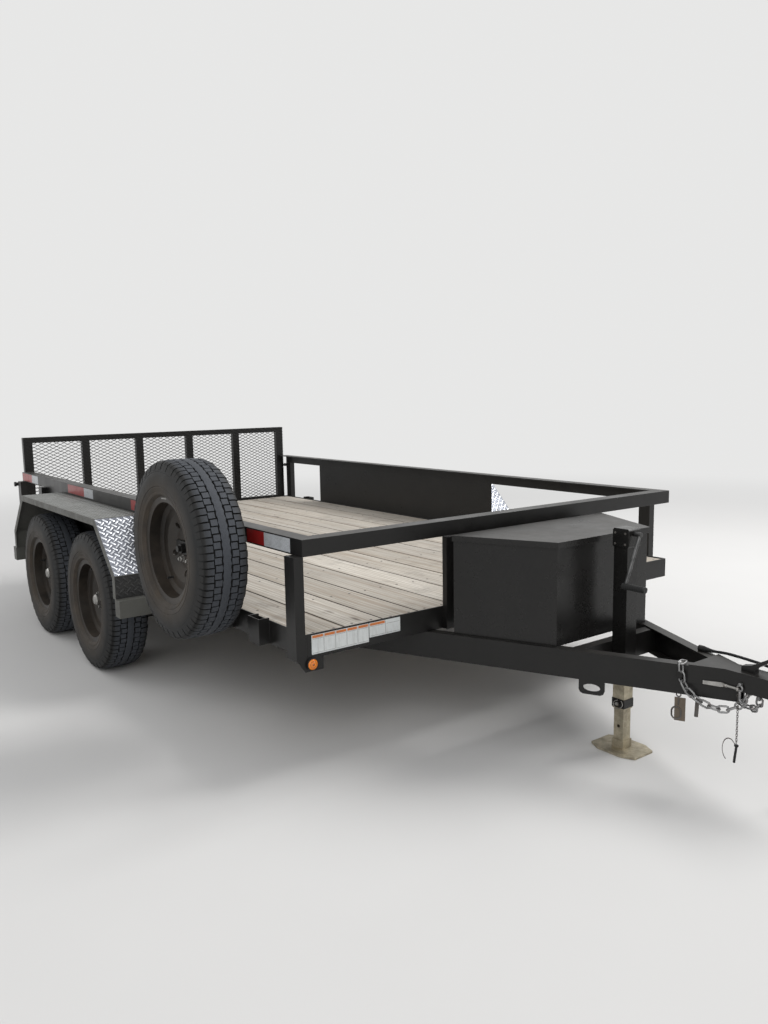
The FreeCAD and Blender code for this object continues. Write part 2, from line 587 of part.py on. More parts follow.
def along(points, step):
    """Points at even chord lengths along a route."""
    found, i, here = [points[0]], 0, points[0]
    while i < len(points) - 1:
        start, line = points[i], points[i + 1] - points[i]
        a, b, c = line.dot(line), 2 * line.dot(start - here), (start - here).dot(start - here) - step * step
        root = b * b - 4 * a * c
        share = (-b + root ** 0.5) / (2 * a) if root >= 0 else 2
        if share > 1:
            i += 1
            continue
        here = start + line * share
        found.append(here)
        points = points[:i] + [here] + points[i + 1:]
    return found


def chain_stops(side):
    """Where the links of one side's chain meet, from its beam to the coupler."""
    return along([Vector(x - s.tongue_reach, side * y, z - s.ball_height) for x, y, z in CHAINS[side]],
                 s.link_inside - s.link_slack)


def end_pin(label, side, end, start, length):
    """Bolt across the trailer through a chain's end link."""
    stops = chain_stops(side)
    tip, inner = (stops[0], stops[1]) if end == "beam" else (stops[-1], stops[-2])
    centre = tip + (inner - tip).normalize() * (s.chain_bolt + s.link_slack / 2)
    return rod(label, "chain_bolt", length, (f"{centre.x:.3f}", start, f"{centre.z:.3f}"), "y")

# Wiring cable's route: ahead of the deck front, from the centre line, above the ground
CABLE = ((818, 92, 430), (856, 92, 430), (904, 86, 437), (960, 74, 440), (1020, 65, 440), (1078, 64, 436),
         (1122, 67, 422), (1150, 73, 393), (1163, 79, 349), (1168, 83, 297), (1170, 85, 246), (1170, 85, 196))


def tongue():
    """A-frame channels with tie loops below them, and the channel that carries the jack."""
    back = "-tongue_run - tongue_reach"

    def bar(label, start, length, inset, width, low, height):
        """A box along the right-hand beam; start is its rear end ahead of the deck front."""
        piece = doc.addObject("Part::Box", label)
        for prop, text in (("Length", length), ("Width", width), ("Height", height)):
            piece.setExpression(prop, on_sheet(text))
        piece.Placement = Placement(Vector(), Rotation(Vector(0, 0, 1), s.tongue_angle))
        return place(piece, f"{start} - tongue_reach - ({inset}) * sin(tongue_angle)",
                     f"-(apex_reach - ({start})) * tan(tongue_angle) + ({inset}) * cos(tongue_angle)", low)
    length = "(apex_reach + tongue_run) / cos(tongue_angle)"
    outer = bar("TongueOuter", "-tongue_run", length, "0", "tongue_flange", TONGUE_LOW, "tongue_depth")
    hollow = bar("TongueHollow", "-tongue_run", length, "tongue_wall", "tongue_flange",
                 f"{TONGUE_LOW} + tongue_wall", "tongue_depth - 2 * tongue_wall")
    limits = block("TongueEnds", ("apex_reach + tongue_run - tongue_blunt", "frame_width / 2", "tongue_depth + 2"),
                   (back, "-frame_width / 2", f"{TONGUE_LOW} - 1"))
    channel = common("TongueBeam", cut("TongueChannel", outer, hollow), limits)
    half_long, half_deep = "(tie_loop_length / 2 - tie_loop_rim)", "(tie_loop_drop / 2 - tie_loop_rim + 4)"
    corner = "tie_loop_corner"
    lower = [("0", "0"), ("0", f"-tie_loop_drop + {corner}"), (f"0.3 * {corner}", f"-tie_loop_drop + 0.3 * {corner}"),
             (corner, "-tie_loop_drop")]
    edge = lower + [(f"tie_loop_length - ({x})", z) for x, z in lower[::-1]]
    ring = [(f"tie_loop_length / 2 + {half_long} * {cos(pi * k / 6):.4f}",
             f"-tie_loop_drop / 2 + {half_deep} * {sin(pi * k / 6):.4f}") for k in range(12)]
    plates = []
    for label, points, grow in (("TieLoopPlate", edge, "0"), ("TieLoopEye", ring, "2")):
        piece = prism(label, "XZ_Plane", points, f"tongue_wall + {grow}")
        piece.Placement = Placement(Vector(), Rotation(Vector(0, 0, 1), s.tongue_angle))
        inset = f"(tongue_wall + {grow} / 2)"
        plates.append(place(piece, f"tie_loop_place - tongue_reach - {inset} * sin(tongue_angle)",
                            f"-(apex_reach - tie_loop_place) * tan(tongue_angle) + {inset} * cos(tongue_angle)",
                            TONGUE_LOW))
    loop, eye = plates
    side_y = CHAINS[-1][0][1]
    bolt = end_pin("ChainBolt", -1, "beam", f"-{side_y} - 10", "28")
    head = end_pin("ChainBoltHead", -1, "beam", f"-{side_y} - 13", "5")
    head.setExpression("Radius", "<<Sizes>>.chain_bolt + 7")
    right = node("tongue_beam_right", fuse("Tongue", channel, cut("TieLoop", loop, eye), bolt, head))
    mirror = mirrored("TongueLeft", right)
    clip = rod("CableClip", "cable_radius + 6", "18", ("cable_clip_place - tongue_reach", "cable_clip_side",
                                                     f"{FRAME_LOW} + cable_radius + 4"), "x")
    node("tongue_beam_left", fuse("TongueLeftClip", mirror, clip))
    front = "jack_place - jack_tube / 2"

    def half(x):
        return f"((apex_reach - ({x})) * tan(tongue_angle) - tongue_wall / cos(tongue_angle))"
    rear = f"({front} - tongue_flange)"
    ends = [(f"{x} - tongue_reach", f"{sign} * {half(x)}")
            for x, sign in ((rear, -1), (front, -1), (front, 1), (rear, 1))]
    cross = place(prism("CrossOuter", "XY_Plane", ends, "tongue_depth - 2 * tongue_wall"),
                  "0", "0", f"{TONGUE_LOW} + tongue_wall")
    inside = block("CrossHollow", ("tongue_flange", f"2 * {half(rear)} + 2", "tongue_depth - 4 * tongue_wall"),
                   (f"{front} - tongue_flange - tongue_wall - tongue_reach", f"-{half(rear)} - 1",
                    f"{TONGUE_LOW} + 2 * tongue_wall"))
    node("tongue_crossmember", cut("TongueCross", cross, inside))


def coupler():
    """Stamped A-frame coupler: flanged over the beam tips, with a bored ball housing."""
    top = f"{FRAME_LOW} + coupler_wall"
    skirt = f"({FRAME_LOW} - coupler_skirt)"
    neck_place = "(apex_reach - coupler_neck / tan(tongue_angle))"

    def plan(back, grow):
        """Outline of the shell; grow is added outside the beams' outer faces."""
        wide = f"((apex_reach - ({back})) * tan(tongue_angle) + ({grow}) / cos(tongue_angle))"
        half = [(f"{back} - tongue_reach", wide), (f"{neck_place} - tongue_reach", f"coupler_neck + ({grow})"),
                ("0", f"coupler_neck + ({grow})")]
        return half + [(x, f"-({y})") for x, y in half[::-1]]
    shell = place(prism("CouplerShell", "XY_Plane", plan("coupler_back", "coupler_wall"), f"{top} - {skirt}"),
                  "0", "0", skirt)
    room = place(prism("CouplerRoom", "XY_Plane", plan("coupler_back - 1", "0"), "coupler_skirt + 1"),
                 "0", "0", f"{skirt} - 1")
    low, outer = "(-socket_depth / 2)", "(coupler_neck + coupler_wall)"
    head = turned("CouplerHead", [(low, "socket_radius"), (low, f"{outer} + 6"), (f"{low} + 7", f"{outer} + 6"),
                                  (f"{low} + 7", outer), (f"{top} - 8", outer), (f"{top} + 1", f"{outer} - 10"),
                                  (f"{top} + 4", f"{outer} - 24"), (f"{top} + 4", "0"), (f"{low} + socket_depth", "0"),
                                  (f"{low} + socket_depth", "socket_radius")])
    head.Placement = Placement(Vector(), Rotation(Vector(1, 0, 0), 90))
    lever = prism("CouplerLatch", "XZ_Plane",
                  [("-130", top), ("-130", f"{top} + 16"), ("-96", f"{top} + 24"), ("-40", f"{top} + 58"),
                   ("-34", f"{top} + 50"), ("-84", f"{top} + 14"), ("-84", top)], "26")
    place(lever, "0", "13", "0")
    pins = [end_pin(f"ChainPin{side}", side, "coupler", "-coupler_neck - coupler_wall / 2",
                    "2 * coupler_neck + coupler_wall") for side in CHAINS]
    node("coupler", fuse("Coupler", cut("CouplerCap", shell, room), head, lever, *pins))


def jack():
    """Square drop-leg jack: outer tube and head, side crank, and the sliding ram with its foot."""
    x = "jack_place - tongue_reach"

    def tube(label, width, low, length, wall):
        outer = block(f"{label}Outer", (width, width, length), (f"{x} - {width} / 2", f"-{width} / 2", low))
        inner = block(f"{label}Inner", (f"{width} - 2 * {wall}", f"{width} - 2 * {wall}", f"{length} + 2"),
                      (f"{x} - {width} / 2 + {wall}", f"-{width} / 2 + {wall}", f"{low} - 1"))
        return cut(label, outer, inner)
    housing = tube("JackTube", "jack_tube", "jack_low - ball_height", "(jack_top - jack_low - head_height)", "leg_wall")
    back, ahead = f"{x} - jack_tube / 2 - 4", f"{x} + jack_tube / 2 + head_side"
    low, top = "jack_top - head_height - ball_height", "jack_top - ball_height"
    head = prism("JackHead", "XZ_Plane",
                 [(back, low), (f"{x} + jack_tube / 2 + 4", low), (ahead, f"{low} + head_bevel"),
                  (ahead, f"{top} - head_bevel"), (f"{ahead} - head_bevel", top), (f"{back} + head_bevel", top),
                  (back, f"{top} - head_bevel")], "jack_tube + 8")
    place(head, "0", "jack_tube / 2 + 4", "0")
    node("jack_housing", fuse("JackHousing", housing, head))
    arm_x, shaft_z = f"{ahead} + crank_out", f"{top} - crank_shaft"
    low_y, low_z = "-crank_reach * sin(crank_turn)", f"{shaft_z} - crank_reach * cos(crank_turn)"
    shaft = rod("CrankShaft", "crank_wire + 2", "crank_out + crank_wire + 1", (ahead, "0", shaft_z), "x")
    arm = rod("CrankArm", "crank_wire", "crank_reach", (arm_x, "0", shaft_z))
    arm.Placement = Placement(arm.Placement.Base, Rotation(Vector(1, 0, 0), 180 - s.crank_turn))
    grip = rod("CrankGrip", "grip_radius", "crank_grip", (f"{arm_x} - crank_wire - 3", low_y, low_z), "x")
    node("jack_crank", fuse("JackCrank", shaft, arm, grip))
    ram = "(jack_tube - 2 * leg_wall - 1)"
    leg = "(jack_tube - 4 * leg_wall - 1.6)"
    ram_tube = tube("JackRam", ram, "ram_low - ball_height", "ram_length", "leg_wall")
    drop = tube("JackDrop", leg, "foot_thick - ball_height", "(ram_low + ram_length - foot_thick - 20)", "leg_wall")
    holes = [rod(f"LegHole{i}", "hole_radius", "jack_tube", (x, "-jack_tube / 2", f"ram_low + 20 + {i} * hole_pitch - ball_height"),
                 "y") for i in (-1, 1, 2)]
    pin = rod("JackPin", "hole_radius - 0.5", f"{ram} + 16", (x, f"-{ram} / 2 - 8", "ram_low + 20 - ball_height"), "y")
    wide, deep, corner = "foot_width / 2", "foot_width * 0.375", "foot_corner"
    points = []
    for sx, sy in ((1, 1), (-1, 1), (-1, -1), (1, -1)):
        near = (f"{x} + {sx} * {wide}", f"{sy} * ({deep} - {corner} / 2)")
        far = (f"{x} + {sx} * ({wide} - {corner})", f"{sy} * {deep}")
        points += [near, far] if sx * sy > 0 else [far, near]
    foot = place(prism("JackFoot", "XY_Plane", points, "foot_thick"), "0", "0", GROUND)
    collar = tube("JackCollar", f"({leg} + 8)", GROUND, "40", "4")
    leg_solid = cut("JackDropLeg", drop, group("LegHoles", *holes))
    node("jack_leg", fuse("JackLeg", ram_tube, leg_solid, pin, foot, collar))


def axles():
    """Dropped axle tubes with spindles and spring seats."""
    centre = "tyre_radius - ball_height"
    half = f"({SPRING_LINE} + spring_width / 2 + arm_gap)"
    reach = f"{WHEEL_SIDE} - ({half})"
    for name, sign in (("front", 1), ("rear", -1)):
        x = f"{AXLE_MIDDLE} + {sign} * axle_spacing / 2"
        pieces = [rod(f"AxleTube_{name}", "axle_radius", f"2 * {half}", (x, f"-{half}", f"{centre} - axle_drop"), "y")]
        for side in (-1, 1):
            low = f"{side} * ({half} + axle_arm / 2) - axle_arm / 2"
            pieces.append(block(f"AxleArm_{name}{side}", ("axle_radius * 2", "axle_arm", "axle_drop + axle_radius * 2"),
                                (f"{x} - axle_radius", low, f"{centre} - axle_drop - axle_radius")))
            start = f"-({half}) - ({reach})" if side < 0 else half
            pieces.append(rod(f"Spindle_{name}{side}", "spindle_radius", reach, (x, start, centre), "y"))
            pieces.append(block(f"SpringPad_{name}{side}", ("70", "spring_width", "seat_pad + axle_radius / 2"),
                                (f"{x} - 35", f"{side} * {SPRING_LINE} - spring_width / 2",
                                 f"{centre} - axle_drop + axle_radius / 2")))
        node(f"axle_{name}", fuse(f"Axle_{name}", *pieces))


def leaf_spring(name, x):
    """Curved leaves, the main one on top with rolled eyes, clamped to the axle by U-bolts."""
    y = f"-{SPRING_LINE} - spring_width / 2"
    bend = "((spring_span * spring_span / 4 + spring_camber * spring_camber) / (2 * spring_camber))"
    centre = f"{SPRING_TOP} + {bend}"
    pieces = []
    for i in range(int(s.leaf_count)):
        half = f"(spring_span / 2 * (1 - {i} * leaf_share))"
        outer = rod(f"{name}LeafOuter{i}", f"{bend} + {i + 1} * leaf_thick", "spring_width", (x, y, centre), "y")
        inner = rod(f"{name}LeafInner{i}", f"{bend} + {i} * leaf_thick", "spring_width + 2", (x, f"{y} - 1", centre), "y")
        limits = block(f"{name}LeafEnds{i}", (f"2 * {half}", "spring_width", "spring_camber + leaf_count * leaf_thick"),
                       (f"{x} - {half}", y, f"{SPRING_TOP} - leaf_count * leaf_thick"))
        pieces.append(common(f"{name}Leaf{i}", cut(f"{name}LeafRing{i}", outer, inner), limits))
    for sign in (-1, 1):
        eye_x = f"{x} + {sign} * spring_span / 2"
        roll = rod(f"{name}Roll{sign}", "eye_bore + leaf_thick", "spring_width", (eye_x, y, EYE_HEIGHT), "y")
        bore = rod(f"{name}EyeBore{sign}", "eye_bore", "spring_width + 2", (eye_x, f"{y} - 1", EYE_HEIGHT), "y")
        pieces.append(roll)
        pieces.append(bore)
    bores = [piece for piece in pieces if "EyeBore" in piece.Label]
    steel = [piece for piece in pieces if piece not in bores]
    plate_low = SPRING_TOP
    clamp = [block(f"{name}TiePlate", ("2 * axle_radius + 6 * u_bolt + 4", "spring_width + 6 * u_bolt", "tie_plate"),
                   (f"{x} - axle_radius - 3 * u_bolt - 2", f"{y} - 3 * u_bolt", plate_low))]
    round_axle = "(axle_radius + u_bolt_gap)"
    tube_z = "tyre_radius - axle_drop - ball_height"
    for side in (-1, 1):
        bolt_y = f"-{SPRING_LINE} + {side} * (spring_width / 2 + u_bolt + 1)"
        bow = rod(f"{name}BowOuter{side}", f"{round_axle} + 2 * u_bolt", "2 * u_bolt", (x, f"{bolt_y} - u_bolt", tube_z), "y")
        eye = rod(f"{name}BowInner{side}", round_axle, "2 * u_bolt + 2", (x, f"{bolt_y} - u_bolt - 1", tube_z), "y")
        lower = block(f"{name}BowHalf{side}", (f"2 * {round_axle} + 4 * u_bolt", "2 * u_bolt", f"{round_axle} + 2 * u_bolt"),
                      (f"{x} - {round_axle} - 2 * u_bolt", f"{bolt_y} - u_bolt", f"{tube_z} - {round_axle} - 2 * u_bolt"))
        clamp.append(common(f"{name}Bow{side}", cut(f"{name}BowRing{side}", bow, eye), lower))
        for end in (-1, 1):
            clamp.append(rod(f"{name}ULeg{side}{end}", "u_bolt", f"{plate_low} + tie_plate + 14 - ({tube_z})",
                             (f"{x} + {end} * ({round_axle} + u_bolt)", bolt_y, tube_z)))
    return fuse(f"{name}Spring", cut(f"{name}Leaves", fuse(f"{name}Rolled", *steel), group(f"{name}Eyes", *bores)), *clamp)


def springs():
    packs = [leaf_spring(name, f"{AXLE_MIDDLE} + {sign} * axle_spacing / 2") for name, sign in (("Front", 1), ("Rear", -1))]
    right = group("SpringsRight", *packs)
    node("leaf_springs", group("Springs", right, mirrored("SpringsLeft", right)))


def hanger(name, x, length, bolt_z, margin):
    """Inverted channel below the frame with a bolt through its cheeks."""
    inside = "(spring_width + 2 * hanger_gap)"
    low = f"({bolt_z} - {margin})"
    outer = block(f"{name}Channel", (length, f"{inside} + 2 * hanger_wall", f"{FRAME_LOW} - {low}"),
                  (f"{x} - {length} / 2", f"-{SPRING_LINE} - {inside} / 2 - hanger_wall", low))
    hollow = block(f"{name}Hollow", (f"{length} + 2", inside, f"{FRAME_LOW} - hanger_wall - {low}"),
                   (f"{x} - {length} / 2 - 1", f"-{SPRING_LINE} - {inside} / 2", low))
    bolt = rod(f"{name}Bolt", "eye_bore - bore_gap", f"{inside} + 2 * hanger_wall + 20",
               (x, f"-{SPRING_LINE} - {inside} / 2 - hanger_wall - 10", bolt_z), "y")
    return [cut(f"{name}Cheeks", outer, hollow), bolt]


def hangers():
    """End hangers, and the centre hanger with the equalizer and its shackles."""
    inside = "(spring_width + 2 * hanger_gap)"
    far = "(axle_spacing / 2 + spring_span / 2)"
    near = "(axle_spacing / 2 - spring_span / 2)"
    ends = [fuse(f"EndHanger{sign}", *hanger(f"End{sign}", f"{AXLE_MIDDLE} + {sign} * {far}", "hanger_length",
                                            EYE_HEIGHT, "eye_margin")) for sign in (-1, 1)]
    pivot = f"({EYE_HEIGHT} + rocker_rise)"
    end_z = f"({EYE_HEIGHT} + rocker_end_rise)"
    half = [("0", f"{pivot} + rocker_edge"), ("rocker_half * 0.4", f"{pivot} + rocker_edge"),
            ("rocker_half + rocker_edge", f"{end_z} + rocker_edge * 0.5"),
            ("rocker_half + rocker_edge * 0.6", f"{end_z} - rocker_edge"),
            ("rocker_half - rocker_edge", f"{end_z} - rocker_edge"), ("0", f"{pivot} - rocker_edge - 6")]
    points = [(f"{AXLE_MIDDLE} + {x}", z) for x, z in half]
    points += [(f"{AXLE_MIDDLE} - ({x})", z) for x, z in half[-2:0:-1]]
    rocker = place(prism("Rocker", "XZ_Plane", points, "spring_width"), "0", f"-{SPRING_LINE} + spring_width / 2", "0")
    pieces = [*hanger("Centre", AXLE_MIDDLE, "centre_hanger", pivot, "rocker_edge"), rocker]
    for sign in (-1, 1):
        top_x, low_x = f"{AXLE_MIDDLE} + {sign} * rocker_half", f"{AXLE_MIDDLE} + {sign} * {near}"
        for tag, x, z in (("Top", top_x, end_z), ("Low", low_x, EYE_HEIGHT)):
            pieces.append(rod(f"Shackle{tag}Bolt{sign}", "eye_bore - bore_gap", f"{inside} + 2 * hanger_wall + 16",
                              (x, f"-{SPRING_LINE} - {inside} / 2 - hanger_wall - 8", z), "y"))
        for side in (-1, 1):
            link = [(f"{top_x} - 13", f"{end_z} + 13"), (f"{top_x} + 13", f"{end_z} + 13"), (f"{low_x} + 13", f"{EYE_HEIGHT}"),
                    (f"{low_x} + 13", f"{EYE_HEIGHT} - 13"), (f"{low_x} - 13", f"{EYE_HEIGHT} - 13"),
                    (f"{top_x} - 13", f"{end_z}")]
            if sign < 0:
                link = [(f"{top_x} + 13", f"{end_z} + 13"), (f"{top_x} - 13", f"{end_z} + 13"),
                        (f"{low_x} - 13", f"{EYE_HEIGHT}"), (f"{low_x} - 13", f"{EYE_HEIGHT} - 13"),
                        (f"{low_x} + 13", f"{EYE_HEIGHT} - 13"), (f"{top_x} + 13", f"{end_z}")]
            plate = prism(f"Shackle{sign}{side}", "XZ_Plane", link, "hanger_wall")
            pieces.append(place(plate, "0", f"-{SPRING_LINE} + {side} * ({inside} + hanger_wall) / 2 + hanger_wall / 2", "0"))
    right = group("HangersRight", *ends, fuse("CentreHanger", *pieces))
    node("spring_hangers", group("Hangers", right, mirrored("HangersLeft", right)))


TYRE = ((-0.36, 0.0), (-0.36, 0.12), (-0.44, 0.14), (-0.5, 0.42), (-0.49, 0.62), (-0.43, 0.88), (-0.36, 0.97), (-0.25, 1.0),
        (0.25, 1.0), (0.36, 0.97), (0.43, 0.88), (0.49, 0.62), (0.5, 0.42), (0.44, 0.14), (0.36, 0.12), (0.36, 0.0))

# place from the rim's middle (towards the outer side) and radius, in shares of half the rim's width
# and of its radius
RIM = ((-1.08, 1.08), (-1.0, 1.08), (-1.0, 1.0), (-0.6, 0.985), (-0.5, 0.89), (0.3, 0.89), (0.42, 0.985), (1.0, 1.0),
       (1.0, 1.08), (1.08, 1.08), (1.03, 0.965), (0.46, 0.955), (0.34, 0.86), (0.3, 0.70), (0.05, 0.45),
       (0.05, 0.18), (0.0, 0.18), (0.0, 0.48), (0.24, 0.72), (0.2, 0.86), (-0.54, 0.86), (-0.66, 0.955), (-1.03, 0.965))


def tyre(label):
    return turned(label, [(f"tyre_width * {a}", f"rim_radius + 0.4 + (tyre_radius - rim_radius - 0.4) * {b}")
                          for a, b in TYRE])


def rim(label):
    """Steel wheel: the turned section with stud holes and hand holes through its disc."""
    section = turned(f"{label}Section", [(f"-rim_width / 2 * {a}", f"rim_radius * {b}") for a, b in RIM])
    holes = []
    for i in range(int(s.stud_count)):
        for kind, circle, radius, shift in (("Stud", "stud_circle", "stud_radius + bore_gap", 0),
                                            ("Hand", "hand_circle", "hand_hole", 0.5)):
            turn = f"(360 * ({i} + {shift}) / stud_count)"
            holes.append(rod(f"{label}{kind}{i}", radius, "rim_width / 2",
                             (f"{circle} * sin({turn})", "-rim_width / 2 * 0.8", f"{circle} * cos({turn})"), "y"))
    return cut(label, section, group(f"{label}Holes", *holes))


def hub(label):
    """Drum and cap on the spindle, with the studs and nuts that hold the wheel."""
    drum = turned(f"{label}Drum", [("0", "spindle_radius + bore_gap"), ("0", "hub_radius"), ("12", "drum_radius - 4"),
                                   ("16", "drum_radius"), ("68", "drum_radius"), ("68", "spindle_radius + bore_gap")])
    cap = turned(f"{label}Cap", [("0", "spindle_radius + bore_gap"), ("0", "28"), ("-52", "28"), ("-60", "20"),
                                 ("-62", "0"), ("-45", "0"), ("-45", "spindle_radius + bore_gap")])
    pieces = [drum, cap]
    for i in range(int(s.stud_count)):
        turn = f"(360 * {i} / stud_count)"
        centre = (f"stud_circle * sin({turn})", f"stud_circle * cos({turn})")
        reach = "disc_thick + bore_gap + nut_height + 8"
        pieces.append(rod(f"{label}Stud{i}", "stud_radius", f"{reach} + 2", (centre[0], f"-({reach})", centre[1]), "y"))
        nut = doc.addObject("Part::Prism", f"{label}Nut{i}")
        nut.Polygon = 6
        nut.setExpression("Circumradius", on_sheet("nut_radius"))
        nut.setExpression("Height", on_sheet("nut_height"))
        nut.Placement = Placement(Vector(), Rotation(Vector(1, 0, 0), 90))
        pieces.append(place(nut, centre[0], "-disc_thick - bore_gap", centre[1]))
    return fuse(label, *pieces)


def wheels():
    for end, sign in (("front", 1), ("rear", -1)):
        x = f"{AXLE_MIDDLE} + {sign} * axle_spacing / 2"
        for side, turn, half in (("right", 0, -1), ("left", 180, 1)):
            for kind, make in (("tyre", tyre), ("rim", rim), ("hub", hub)):
                piece = make(f"{kind}_{end}_{side}")
                piece.Placement = Placement(Vector(), Rotation(Vector(0, 0, 1), turn))
                place(piece, x, f"{half} * {WHEEL_SIDE}", "tyre_radius - ball_height")
                node(f"{kind}_{end}_{side}", piece)


def spare_wheel():
    """Spare on an arm from its own post, clamped through the middle of its disc."""
    x = f"{DECK_FRONT} - spare_place"
    y = "-frame_width / 2 - post_width - spare_gap - tyre_width / 2"
    z = "spare_height - ball_height"
    for kind, make in (("tyre", tyre), ("rim", rim)):
        node(f"spare_{kind}", place(make(f"spare_{kind}"), x, y, z))
    post = block("SparePost", ("post_length", "post_width", f"{RAIL_LOW} - ({FRAME_LOW})"),
                 (f"{x} - post_length / 2", "-frame_width / 2 - post_width", FRAME_LOW))
    arm = block("SpareArm", ("spare_arm", "spare_gap + tyre_width / 2 - 4", "spare_arm"),
                (f"{x} - spare_arm / 2", f"{y} + 4", f"{z} - spare_arm / 2"))
    plate = rod("SparePlate", "spare_plate", "4", (x, f"{y} + 0.2", z), "y")
    stud = rod("SpareStud", "spare_stud", "disc_thick + 40", (x, f"{y} - disc_thick - 38", z), "y")
    clamp = block("SpareClamp", ("clamp_width", "8", "clamp_height"),
                  (f"{x} - clamp_width / 2", f"{y} - disc_thick - 8.2", f"{z} - clamp_height / 2"))
    nut = doc.addObject("Part::Prism", "SpareNut")
    nut.Polygon = 6
    nut.setExpression("Circumradius", on_sheet("spare_stud * 1.7"))
    nut.setExpression("Height", on_sheet("18"))
    nut.Placement = Placement(Vector(), Rotation(Vector(1, 0, 0), 90))
    place(nut, x, f"{y} - disc_thick - 8.2", z)
    node("spare_carrier", fuse("SpareCarrier", post, arm, plate, stud, clamp, nut))


def ramp_gate():
    axis, hinge_z = GATE_AXIS
    x = f"{axis} - gate_tube / 2"
    low = f"{hinge_z} + hinge_pin + barrel_wall - 0.5"
    height = f"gate_top - ball_height - ({low})"
    bars = []
    for i in range(6):
        edge = i in (0, 5)
        width = "gate_edge" if edge else "gate_bar"
        centre = f"(-{GATE_WIDTH} / 2 + gate_edge / 2 + ({GATE_WIDTH} - gate_edge) * {i} / 5)"
        bars.append(block(f"GateBar{i}", ("gate_tube", width, height), (x, f"{centre} - {width} / 2", low)))
    for i in range(3):
        y = f"(({i} - 1) * {HINGE_SIDE})"
        barrel = rod(f"GateBarrel{i}", "hinge_pin + barrel_wall", "80", (axis, f"{y} - 40", hinge_z), "y")
        bore = rod(f"GateBore{i}", "hinge_pin + bore_gap", "82", (axis, f"{y} - 41", hinge_z), "y")
        bars.append(cut(f"GateSleeve{i}", barrel, bore))
    for i, z in enumerate((low, "gate_top - gate_tube - ball_height")):
        bars.append(block(f"GateRail{i}", ("gate_tube", GATE_WIDTH, "gate_tube"), (x, f"-{GATE_WIDTH} / 2", z)))
    node("gate_frame", fuse("GateFrame", *bars))
    node("gate_mesh", expanded_mesh(f"{x} + gate_tube", low, height))


def expanded_mesh(x, low, height):
    """Strands at two slants, one layer behind the other, trimmed to the gate's outline."""
    layer = "(gate_mesh_thick - mesh_gap) / 2"
    slant = atan2(s.mesh_short, s.mesh_long)
    rise = (s.frame_width - 2 * s.gate_side_gap) * tan(slant)
    tall = s.gate_top - s.gate_hinge_height
    count = int((tall + rise) / s.mesh_short) + 2
    length = f"{GATE_WIDTH} / cos(atan(mesh_short / mesh_long)) + 40"
    layers = []
    for i, sign in enumerate((1, -1)):
        strands = []
        for j in range(count):
            strand = doc.addObject("Part::Box", f"Strand{i}_{j}")
            for prop, text in (("Length", layer), ("Width", length), ("Height", "mesh_strand")):
                strand.setExpression(prop, on_sheet(text))
            strand.Placement = Placement(Vector(), Rotation(Vector(1, 0, 0), sign * degrees(slant)))
            up = f"{j - 1} * mesh_short"
            drop = f"{GATE_WIDTH} * mesh_short / mesh_long" if sign > 0 else "0"
            strands.append(place(strand, f"{x} + {i} * ({layer} + mesh_gap)", f"-{GATE_WIDTH} / 2 - 10",
                                 f"{low} + {up} - {drop}"))
        limits = block(f"MeshEdge{i}", ("gate_mesh_thick", GATE_WIDTH, height), (x, f"-{GATE_WIDTH} / 2", low))
        layers.append(common(f"MeshLayer{i}", group(f"Strands{i}", *strands), limits))
    return group("GateMesh", *layers)


def lamps():
    """Round lamps on the plates below the frame's corners."""
    for name, x, label, sides in (("front", DECK_FRONT, "marker_lamps", (-1,)),
                                  ("rear", f"{DECK_REAR} - lamp_depth", "tail_lamps", (-1, 1))):
        pieces = [rod(f"Lamp_{name}{side}", "lamp_radius", "lamp_depth",
                      (x, f"{side} * (frame_width / 2 - lamp_place)", f"{FRAME_LOW} - lamp_low"), "x") for side in sides]
        node(label, group(f"Lamps_{name}", *pieces))


def chain_link():
    """One link: a flat ring with its long edges cut back, lying along X."""
    wire, half, side = "link_wire", "link_inside / 2", "link_width / 2"

    def ring(label, grow, nip, depth, low):
        ends = [(1, 1), (-1, 1), (-1, -1), (1, -1)]
        points = []
        for sx, sy in ends:
            along = (f"{sx} * ({half} + {grow})", f"{sy} * ({side} + {grow} - {nip})")
            across = (f"{sx} * ({half} + {grow} - {nip})", f"{sy} * ({side} + {grow})")
            points += [along, across] if sx * sy > 0 else [across, along]
        return place(prism(label, "XY_Plane", points, depth), "0", "0", low)
    outer = ring("LinkOuter", wire, "link_wire * 0.9", f"{wire} - 2", "-link_wire / 2 + 1")
    inner = ring("LinkInner", "0", "1.5", f"{wire} + 2", "-link_wire / 2 - 1")
    return cut("ChainLink", outer, inner)


def safety_chains():
    """Both chains, link by link, each link turned a quarter from its neighbour."""
    link = chain_link()
    doc.recompute()
    links = []
    for side in CHAINS:
        stops = chain_stops(side)
        for i, (start, end) in enumerate(zip(stops, stops[1:])):
            course = (end - start).normalize()
            across = course.cross(Vector(0, 1, 0))
            aim = Rotation(course, Vector(0, 0, 0), course.cross(across) * -1, "XZY")
            piece = doc.addObject("Part::Feature", f"Link{side}_{i}")
            piece.Shape = link.Shape.copy()
            piece.Placement = Placement((start + end) / 2, aim * Rotation(Vector(1, 0, 0), 90 * (i % 2)))
            links.append(piece)
        print(f"chain {side}: {len(stops) - 1} links, the last ends at {stops[-1]}")
    node("safety_chains", group("SafetyChains", *links))


